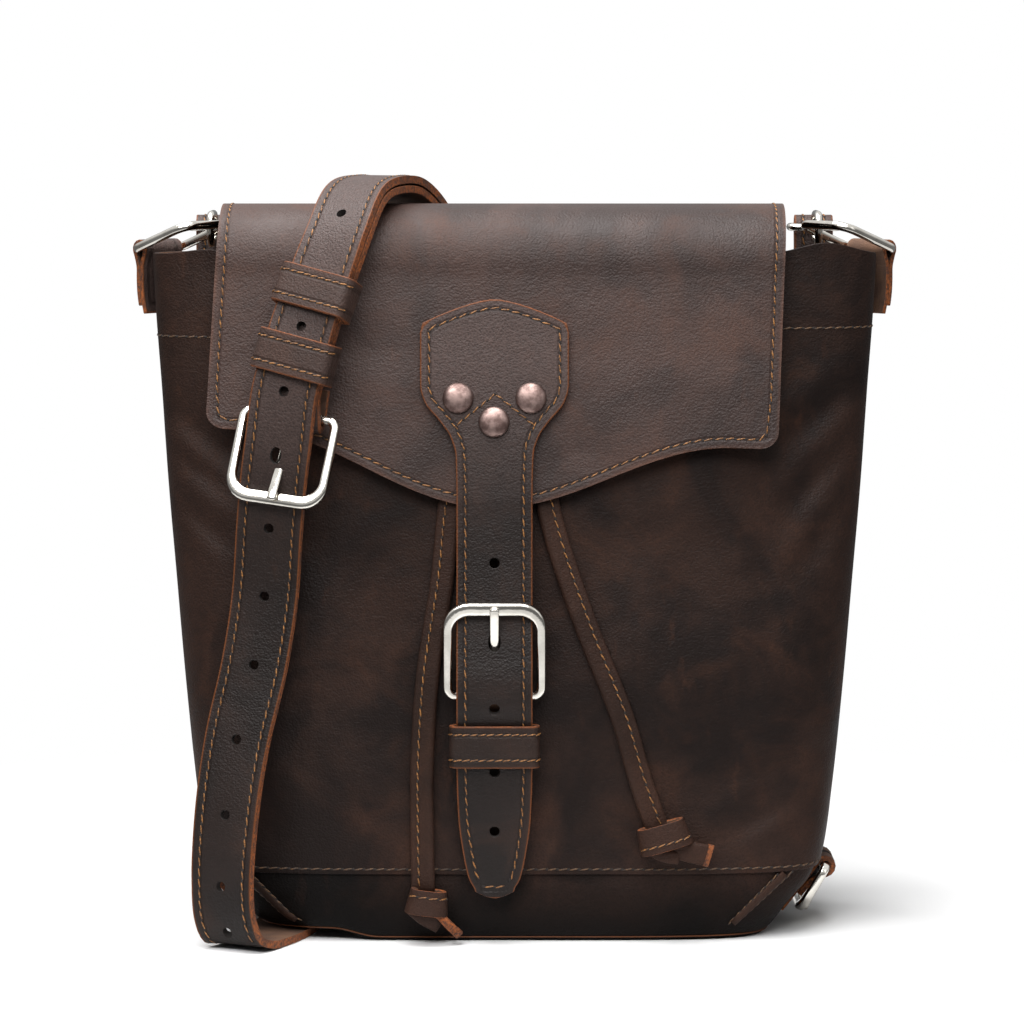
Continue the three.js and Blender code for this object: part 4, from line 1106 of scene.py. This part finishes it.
# %% Loop tabs
def loop_tab(name, seat, half, tail, overlap, node):
    lie, over = -3.2, 1.25 - WALL
    bend = [(3.2 * math.sin(a), -3.2 * math.cos(a)) for a in (math.radians(200) * k / 14 for k in range(15))]
    line = [(-tail + 6 * k, lie) for k in range(int(tail / 6))] + [(-2.5, lie)] + bend
    line += [(-4.6, 1.0), (-7.5, over + 0.3), (-overlap, over)]
    across = seat.to_3x3().col[0].normalized()
    way = Way([(seat @ Vector((0, y, z)), across, half) for y, z in line], 3)
    slot = way.nearest(seat @ Vector((0, 3.2, 0)))
    tab = lay_strip(name, way, 15, 1.5, STRAP_HIDE, holes=[(slot, 2.6, 1.6)], ends=True)
    keep(thicken(tab, WALL), "strap_leather", node)
    return way


down = Vector((0, front_y(CLOSURE_X, 60) - front_y(CLOSURE_X, 96), -36)).normalized()
tab_way = loop_tab("tab_front", seat_of(front_heel, RIGHT, -down), 12, 46, 10.4, "front_buckle_tab")
print("front tab is cut", round(tab_way.length / MM), "mm long")

# %% [markdown]
# A keeper is a narrow band sewn into a ring round the strap. Its way is a flat rounded rectangle,
# which starts at the back so that the weld is hidden.


# %% Keepers
def keeper(name, centre, wide, out, band, half, rise, node, inset=3.1):
    wide = wide.normalized()
    out = (out - wide * out.dot(wide)).normalized()
    loop = rounded_loop(-half, half, -rise, rise, min(2.4, rise - 0.1), min(2.4, rise - 0.1), 6)
    ring = [(0.0, -rise)] + [(p.x, p.y) for p in loop] + [(0.0, -rise)]
    band_side = out.cross(wide)
    stations = [(centre + (wide * x + out * y) * MM, band_side, band / 2) for x, y in ring]
    way = Way(stations, 2)
    strip = lay_strip(name, way, 8, 1.1, KEEPER_HIDE, ring=True)
    keep(thicken(strip, 2.0, soft=0.45), "strap_leather", node)
    start = way.nearest(centre + (wide * half + out * (rise - 2)) * MM)
    end = way.nearest(centre + (-wide * half + out * (rise - 2)) * MM)
    sew("seam_" + name, [strip_seam(way, 2.0, side, inset, start, end, 1.0) for side in (-1, 1)], pitch=3.1)


KEEPER_Z = 77
keeper_at = spot(CLOSURE_X, closure_y(CLOSURE_X, KEEPER_Z), KEEPER_Z)
keeper("keeper_front", keeper_at, RIGHT, FORWARD, 16, 15.2 + 1, 2.1 + 1, "front_keeper")

# %% [markdown]
# ## The shoulder strap
# The strap is two lengths. The long one starts at the left clip, goes down behind the bag, under it
# and up in front, through the buckle and the two keepers, and ends behind the flap. The short one
# holds the buckle, lies under the long one over the ridge, and goes on to the right clip. Each
# station of their ways is a place, a turn of the width about the upright and a half width.

# %% Way of the long strap
STRAP_HALF, END_HALF, FOLD_RADIUS, END_TAIL = 12.7, 7.5, 3.3, 16
LONG_ROWS = (
    (-118.2, 39.3, 271, 0, END_HALF), (-118.2, 40.5, 255, 0, END_HALF), (-118, 44, 232, 0, 11.5),
    (-116.5, 50, 200, 0), (-113, 56, 155, 0), (-107.5, 60.5, 105, 0), (-99, 63, 58, 0), (-92, 60, 22, 0),
    (-88.5, 51, 6, 0), (-86.5, 36, 1.9, 4), (-85, 18, 1.8, 0), (-85.5, 0, 1.7, -8), (-88, -18, 1.7, -15),
    (-93, -36, 1.7, -24), (-98, -47.5, 1.8, -26), (-102.5, -56, 2.4, -26), (-106.5, -61.2, 5, -26),
    (-109.3, -62.7, 11.5, -26), (-110.4, -62.6, 25, -26),
    (-108.8, -60.5, 52, -21), (-104.8, -56, 80, -16), (-98.4, -52, 108, -12), (-94.4, -50, 134, -12),
    (-92.5, -51, 160, -12), (-90.8, -53, 178, -12), (-88.8, -54.5, 193, -12), (-86.2, -55, 212, -14),
    (-82.5, -54.5, 225, -16), (-79.6, -53, 236, -18), (-74, -50, 252, -22), (-67, -42.4, 271.5, -26),
    (-61, -25, 286.3, -30), (-53, -1, 290.3, -30), (-45, 18.5, 288, -30), (-36.5, 35.6, 276.5, -28),
    (-30.5, 42.6, 257, -25), (-26.5, 45, 238, -22),
)


def strap_stations(rows):
    stations = []
    for x, y, z, turn, *half in rows:
        a = math.radians(turn)
        stations.append((spot(x, y, z), Vector((math.cos(a), math.sin(a), 0)), half[0] if half else STRAP_HALF))
    return stations


def fold_back(station, ahead, side, radius, tail):
    place, wide, half = station
    turns = [math.pi * k / 10 for k in range(1, 11)]
    fold = [(place + (ahead * math.sin(a) + side * (1 - math.cos(a))) * (radius * MM), wide, half) for a in turns]
    return fold + [(fold[-1][0] - ahead * (tail * share * MM), wide, half) for share in (0.3, 0.65, 1.0)]


long_stations = strap_stations(LONG_ROWS)
long_way = Way(fold_back(long_stations[0], UP, FORWARD, FOLD_RADIUS, END_TAIL)[::-1] + long_stations, 6)


def on_hang(z):
    """The length along the long strap at a height on its way up the front."""
    rising = [m for m in long_way.marks if m[1].y < 0 and m[2].z > 0]
    return min(rising, key=lambda m: abs(m[1].z - z * MM))[0]


print("long strap is", round(long_way.length * 1000), "mm")

# %% Long strap
STRAP_HOLES = (7.5, 26, 52, 80, 108, 134, 160, 213, 236, 278)
PRONG_SLOT_Z = 187
holes = [(on_hang(z), 2.0, 1.0) for z in STRAP_HOLES] + [(on_hang(PRONG_SLOT_Z), 2.2, 1.5)]
long_strap = lay_strip("strap_long_strip", long_way, 13, 2.0, STRAP_HIDE, holes=holes)
keep(thicken(long_strap, STRAP_THICK, soft=0.5), "strap_leather", "strap_long")
pressed = [m[0] for m in long_way.marks if m[1].z < 5 * MM]
parts = ((0, pressed[0]), (pressed[-1], long_way.length))
runs = [strip_seam(long_way, STRAP_THICK, side, start=a, end=b) for side in (-1, 1) for a, b in parts]
sew("seam_strap_long", runs)

# %% [markdown]
# The strap buckle hangs with its heel bar behind the long strap and its end bar in front of it. The
# short strap folds round the heel bar and then follows the long strap one layer further in.

# %% Strap buckle
LAYER, BUCKLE_ASIDE = 3.8, 1.5
heel_at, _, heel_wide, heel_out, _ = long_way.at(on_hang(203))
end_at, _, end_wide, end_out, _ = long_way.at(on_hang(173))
strap_heel = heel_at + (heel_wide * BUCKLE_ASIDE - heel_out * (LAYER + 3.9)) * MM
strap_end = end_at + (end_wide * BUCKLE_ASIDE + end_out * 4.2) * MM
strap_seat = seat_of(strap_heel, -heel_wide, strap_end - strap_heel)
strap_length = (strap_end - strap_heel).length / MM
buckle("buckle_strap", strap_seat, 18, strap_length, "strap_buckle")
prong("prong_strap", strap_seat, strap_length, 1.2, "strap_prong")
for z, name in ((248.5, "upper"), (225, "lower")):
    place, _, wide, out, _ = long_way.at(on_hang(z))
    middle = place - out * (LAYER / 2) * MM
    keeper("keeper_" + name, middle, wide, out, 15.5, 13.5 + 1, 4.6 + 1, "strap_keeper_" + name)
print("strap buckle is", round(strap_length, 1), "mm from bar to bar")

# %% Short strap
SHORT_ROWS = (
    (-24, 43, 222, -24), (-17, 48, 198, -38), (-2, 56, 166, -60), (22, 60, 130, -80), (52, 62, 106, -92),
    (84, 61, 118, -110), (104, 58, 156, -140), (113, 51, 205, -165), (118.2, 42, 248, -180, END_HALF),
    (118.2, 39.3, 271, -180, END_HALF),
)
start = on_hang(203)
_, heel_along, _, _, _ = long_way.at(start)
bar_down = -(heel_along - heel_wide * heel_along.dot(heel_wide)).normalized()
bar_back = heel_wide.cross(bar_down)
bar_fold = fold_back((strap_heel - bar_back * 3.9 * MM, heel_wide, STRAP_HALF), bar_down, bar_back, 3.9, 11)
under = []
for k in range(1, 23):
    place, _, wide, out, half = long_way.at(mix(start, long_way.length, k / 22.5))
    under.append((place - out * LAYER * MM, wide, half))
short_stations = strap_stations(SHORT_ROWS)
clip_fold = fold_back(short_stations[-1], UP, FORWARD, FOLD_RADIUS, END_TAIL)
short_way = Way(bar_fold[::-1] + under + short_stations + clip_fold, 5)
slot = short_way.nearest(strap_heel + bar_down * 3.9 * MM)
short_strap = lay_strip("strap_short_strip", short_way, 13, 2.0, STRAP_HIDE, holes=[(slot, 2.4, 1.6)])
keep(thicken(short_strap, STRAP_THICK, soft=0.5), "strap_leather", "strap_short")
sew("seam_strap_short", [strip_seam(short_way, STRAP_THICK, side) for side in (-1, 1)])
print("short strap is", round(short_way.length * 1000), "mm")

# %% [markdown]
# ## Rings and clips at the top
# At each top corner a folded leather tab holds a nickel ring that leans inward. A plain wire clip
# joins the ring to the end of the strap. The right side is the left one mirrored.

# %% Top hardware
SIDE_X, SIDE_Y, SIDE_Z, SIDE_TURN, RING_TILT = 139.4, 13.8, 263.2, math.radians(38), math.radians(20)
SIDE_TAB_HALF, SIDE_TAB_TAIL, SIDE_TAB_THICK = 10.5, 25, 1.75
TAB_LINE = [(0.9, -SIDE_TAB_TAIL + 3 * k) for k in range(7)] + [(1.4, -4.6)]
TAB_LINE += [(2.8 * math.cos(a), 2.8 * math.sin(a)) for a in (math.radians(-30 + 20 * k) for k in range(13))]
TAB_LINE += [(-1.4, -4.6)] + [(-0.9, -7 - 3 * k) for k in range(6)]
TAB_LINE = [(x + 1.8 * (max(0.0, -12 - z) / 13) ** 2, z) for x, z in TAB_LINE]
for side, name in ((-1, "left"), (1, "right")):
    outward = Vector((side * math.cos(SIDE_TURN), math.sin(SIDE_TURN), 0))
    across = Vector((-side * outward.y, side * outward.x, 0))
    corner = spot(side * SIDE_X, SIDE_Y, SIDE_Z)
    stations = [(corner + (-outward * x + UP * z) * MM, across, SIDE_TAB_HALF) for x, z in TAB_LINE]
    way = Way(stations, 3)
    tab = lay_strip("tab_side_" + name, way, 12, 1.2, STRAP_HIDE, ends=True)
    keep(thicken(tab, SIDE_TAB_THICK), "strap_leather", "side_tab_" + name)
    lean = -outward * math.cos(RING_TILT) + UP * math.sin(RING_TILT)
    bm = bmesh.new()
    wire_loop(bm, seat_of(corner, across, lean), rounded_loop(-13, 13, 0, 28, 3, 6), press(16, 1.7, 1.7, 2.3))
    keep(make_piece("ring_" + name + "_wire", bm, NICKEL), "nickel", "ring_" + name)
    eye = spot(side * 118.2, 36, 271)
    bm = bmesh.new()
    wire_loop(bm, seat_of(eye, RIGHT, -FORWARD), rounded_loop(-9.3, 9.3, -8.4, 0, 2, 2), press(12, 1.5, 1.5))
    hook = seat_of(eye + FORWARD * 8.4 * MM, -FORWARD, UP)
    wire_loop(bm, hook, rounded_loop(-21.6, 0, -5.8, 5.4, 4.4, 4.4), press(12, 1.5, 1.5))
    keep(make_piece("clip_" + name + "_wire", bm, NICKEL), "nickel", "clip_" + name)

# %% [markdown]
# ## Buckles at the lower corners
# Two more buckles hang at the lower corners, for wearing the bag on the back. Their frames and their
# prongs turn on the heel bar, so each is on a body of its own.

# %% Lower buckles
LOWER_HEEL_X, LOWER_HEEL_Z, LOWER_OPEN = 121.1983, 23.0205, math.radians(7)
CLIMB_X, CLIMB_Z = 0.60957, 0.79272
for side, name in ((-1, "left"), (1, "right")):
    heel = spot(side * LOWER_HEEL_X, 0, LOWER_HEEL_Z)
    climb = Vector((side * CLIMB_X, 0, CLIMB_Z))
    outward = Vector((side * CLIMB_Z, 0, -CLIMB_X))
    hang = -climb * math.cos(LOWER_OPEN) + outward * math.sin(LOWER_OPEN)
    tab_seat = seat_of(heel, -FORWARD * side, climb)
    loop_tab("tab_lower_" + name, tab_seat, 10.5, 24, 15, "lower_tab_" + name)
    seat = seat_of(heel, FORWARD * side, hang)
    frame_name = "lower_buckle_" + name
    buckle("buckle_lower_" + name, seat, 14.2, 18.5, frame_name, frame_name, 1.2)
    prong("prong_lower_" + name, seat, 18.5, -3, "lower_prong_" + name, "lower_prong_" + name)

# %% [markdown]
# ## Drawstrings
# Two strings close the mouth under the flap. Each is a strip folded along its length and sewn a third
# of the way in, so it has a thick round side and a thin side. They come through the front, hang under
# the flap and end in a knot. They are free cords, so their real lengths are given too.

# %% Strings
STRING_WIDE, STRING_LIE, STRING_HOLE_Z = 9, 2.5, 248
STRING_ROUTES = {
    "left": (-15, ((-16, 226), (-20, 196), (-25, 164), (-27.5, 139), (-33, 103), (-35.2, 68), (-35.2, 45), (-34.8, 19))),
    "right": (3, ((4.5, 226), (8, 196), (14.2, 161), (26.4, 124), (41, 87), (48.2, 62), (55, 43))),
}


def string_section(thin_side):
    section = []
    for k in range(24):
        a = 2 * math.pi * k / 24
        x = STRING_WIDE / 2 * math.copysign(abs(math.cos(a)) ** 0.8, math.cos(a))
        share = min(1.0, max(0.0, (thin_side * x + 3.2) / 3.6))
        thick = mix(2.05, 1.2, share * share * (3 - 2 * share)) if thin_side * x > -3.2 else 2.05
        section.append((x, thick * math.copysign(abs(math.sin(a)) ** 0.75, math.sin(a))))
    return section


def lengthwise(places):
    return sum((b - a).length for a, b in zip(places, places[1:]))


strings = {}
for name, thin_side in (("left", -1), ("right", 1)):
    hole, route = STRING_ROUTES[name]
    face = front_y(hole, STRING_HOLE_Z)
    start = [(hole, face + 7, 248), (hole, face, 248), (hole, face - 2.2, 246.8), (hole - 0.2, face - 2.9, 243.5)]
    points = [spot(*p) for p in start] + [spot(x, front_y(x, z) - STRING_LIE, z) for x, z in route]
    places = smooth_way(points, 8)
    bm = bmesh.new()
    sweep(bm, path_frames(places, RIGHT), string_section(thin_side))
    string = keep(make_piece("string_" + name, bm, STRING_HIDE), "strap_leather", "drawstring_" + name)
    run = []
    for place, after in zip(places[30:], places[31:]):
        along = (after - place).normalized()
        across = (RIGHT - along * RIGHT.dot(along)).normalized()
        out = along.cross(across)
        run.append((place + (across * thin_side * 1.6 + out * 1.35) * MM, out))
    strings[name] = (string, sew("seam_string_" + name, [run]), places)
    print("string", name, round(lengthwise(places) / MM), "mm")

# %% [markdown]
# A knot is the string's own strip wrapped round it once and pulled through. The wrap is a short cuff
# with a raw rim and a stitch line, the pull-through is a fold below it, and the tail shows its raw,
# cut end. A lump fills the cuff, as the rolled string does.


# %% Knots
def cuff(name, centre, up, across, halves, tall, flare):
    up, out = up.normalized(), across.cross(up).normalized()
    stations = []
    for k in range(33):
        a = math.pi * (2 * k / 32 - 1)
        c, s = (math.copysign(abs(f(a)) ** 0.8, f(a)) for f in (math.cos, math.sin))
        radial = (out * c - across * s).normalized()
        place = centre + (out * c * halves[1] - across * s * halves[0]) * MM
        stations.append((place, (up - radial * flare).normalized(), tall / 2))
    way = Way(stations, 2)
    strip = lay_strip(name, way, 8, 1.0, STRING_HIDE, ring=True)
    return thicken(strip, 1.7, soft=0.4), way


def lump(bm, centre, up, across, halves, material=0):
    up, out = up.normalized(), across.cross(up).normalized()
    axes = Matrix((across * halves[0], out * halves[1], up * halves[2])).transposed() * MM
    shape = Matrix.Translation(centre) @ axes.to_4x4()
    made = bmesh.ops.create_uvsphere(bm, u_segments=20, v_segments=14, radius=1, matrix=shape)
    for face in {f for v in made["verts"] for f in v.link_faces}:
        face.material_index = material


def ribbon(bm, points, wide, half, thick, material):
    before = set(bm.faces)
    places = smooth_way(points, 5)
    sweep(bm, path_frames(places, wide), press(14, half, thick, 3))
    for face in set(bm.faces) - before:
        face.material_index = material


def at_front(x, z, out):
    return spot(x, front_y(x, z) - out, z)


KNOTS = {
    "left": {
        "cuff": ((-33.2, 16.8), (0.12, 1.0), (6.8, 3.9), 9.6, 0.16),
        "fold": (((-39, 15, 5.2), (-34.5, 11.5, 6.6), (-28.5, 7.8, 5.4)), (0.55, 0.83), 3.4),
        "tail": (((-29.5, 13, 6.5), (-26, 9.2, 7.2), (-21.4, 4.2, 6.2)), (0.78, 0.62), 1.7),
        "tail_finish": 1,
        "cut": (((-22.6, 5.6, 6.5), (-22.0, 4.9, 6.3), (-21.2, 4.0, 6.2)), 1.8),
        "stitch": 1,
    },
    "right": {
        "cuff": ((56.8, 41.9), (-0.28, 0.96), (9.0, 4.1), 10.2, 0.14),
        "fold": (((52, 37, 4.5), (57, 34.6, 5.2), (62.5, 33.6, 4.6)), (0.1, 0.99), 2.6),
        "tail": (((60, 38, 3.6), (66, 36.2, 5.4), (74.4, 34.3, 5.0)), (0.1, 0.99), 4.2),
        "tail_finish": 0,
        "cut": (((72.8, 34.8, 5.1), (73.8, 34.5, 5.0), (74.8, 34.2, 5.0)), 4.4),
        "stitch": -1,
    },
}
for name, knot in KNOTS.items():
    (x, z), lean, halves, tall, flare = knot["cuff"]
    up = Vector((lean[0], 0, lean[1])).normalized()
    across = Vector((up.z, 0, -up.x))
    centre = at_front(x, z, 5.4)
    band, way = cuff("cuff_" + name, centre, up, across, halves, tall, flare)
    keep(band, "strap_leather", "knot_" + name)
    middle = way.length / 2
    reach = 0.21 * way.length
    stitch_run = strip_seam(way, 1.7, knot["stitch"], 2.7, middle - reach, middle + reach, 1.0)
    cuff_seam = sew("seam_cuff_" + name, [stitch_run], pitch=3.6)
    bm = bmesh.new()
    lump(bm, centre, up, across, (halves[0] - 0.8, halves[1] - 0.6, tall / 2 - 1.0))
    points, wide, half = knot["fold"]
    ribbon(bm, [at_front(*p) for p in points], Vector((wide[0], 0, wide[1])), half, 1.3, 0)
    points, wide, half = knot["tail"]
    ribbon(bm, [at_front(*p) for p in points], Vector((wide[0], 0, wide[1])), half, 1.5, knot["tail_finish"])
    points, half = knot["cut"]
    ribbon(bm, [at_front(*p) for p in points], Vector((wide[0], 0, wide[1])), half, 1.7, 1)
    core = keep(make_piece("knot_" + name + "_core", bm, STRING_HIDE, EDGE), "strap_leather", "knot_" + name)
    string, seam, places = strings[name]

# %% [markdown]
# ## Studio
# The bag stands on a plain pale floor that runs on into a white room, so there is no horizon. A wide
# softbox above and a lower one in front give the sheen on the flap and the straps, one on the right
# opens up that side, and the white room fills the rest and is what the nickel mirrors.

# %% Floor and light
def paper():
    n = Nodes("studio_paper")
    cloud = n.noise(3, 3)
    colour = n.mix(n.ramp(cloud, 0.3, 0.7), shade(238, 238, 238), shade(244, 244, 244))
    away = n.add("VectorMath", {0: n.place}, operation="LENGTH").outputs["Value"]
    rise = n.ramp(away, 0.17, 0.27)
    colour = n.mix(rise, colour, shade(0, 0, 0))
    white = shade(255, 255, 255)
    return n.finish(Base_Color=colour, Roughness=0.7, Emission_Color=white, Emission_Strength=rise)


ROOM_FILL, ROOM_LOW, ROOM_HIGH, FLOOR_RADIUS = 0.06, 0.2, 1.0, 0.45
bm = bmesh.new()
bmesh.ops.create_circle(bm, cap_ends=True, segments=96, radius=FLOOR_RADIUS)
studio_floor = make_piece("studio_floor", bm, paper())

world = bpy.data.worlds.new("white_room")
world.use_nodes = True
tree = world.node_tree
rays = tree.nodes.new("ShaderNodeLightPath")
way_out = tree.nodes.new("ShaderNodeTexCoord")
parts = tree.nodes.new("ShaderNodeSeparateXYZ")
tree.links.new(way_out.outputs["Generated"], parts.inputs["Vector"])
height = tree.nodes.new("ShaderNodeMapRange")
height.interpolation_type = "SMOOTHSTEP"
tree.links.new(parts.outputs["Z"], height.inputs["Value"])
for key, value in {"From Min": 0.0, "From Max": 0.6, "To Min": ROOM_LOW, "To Max": ROOM_HIGH}.items():
    height.inputs[key].default_value = value
mirrored = tree.nodes.new("ShaderNodeMix")
tree.links.new(rays.outputs["Is Glossy Ray"], mirrored.inputs["Factor"])
mirrored.inputs["A"].default_value = ROOM_FILL
tree.links.new(height.outputs["Result"], mirrored.inputs["B"])
seen = tree.nodes.new("ShaderNodeMix")
tree.links.new(rays.outputs["Is Camera Ray"], seen.inputs["Factor"])
tree.links.new(mirrored.outputs["Result"], seen.inputs["A"])
seen.inputs["B"].default_value = 1.0
tree.nodes["Background"].inputs["Color"].default_value = (1.0, 1.0, 1.0, 1.0)
tree.links.new(seen.outputs["Result"], tree.nodes["Background"].inputs["Strength"])
bpy.context.scene.world = world
bpy.context.scene.view_settings.view_transform = "Standard"


def softbox(name, place, aim, wide, tall, power):
    light = bpy.data.lights.new(name, "AREA")
    light.shape = "RECTANGLE"
    light.size = wide
    light.size_y = tall
    light.energy = power
    lamp = bpy.data.objects.new(name, light)
    bpy.context.scene.collection.objects.link(lamp)
    lamp.location = place
    lamp.rotation_euler = (Vector(aim) - Vector(place)).to_track_quat("-Z", "Y").to_euler()


softbox("light_top", (-0.12, -0.1, 1.0), (0, 0, 0.2), 1.0, 0.6, 17)
softbox("light_front", (-0.15, -0.72, 0.72), (0, 0, 0.2), 0.9, 0.35, 8.5)
softbox("light_right", (1.4, -1.2, 0.8), (0, 0, 0.15), 0.7, 1.1, 2)
print("lights 3, room fills with", ROOM_FILL)
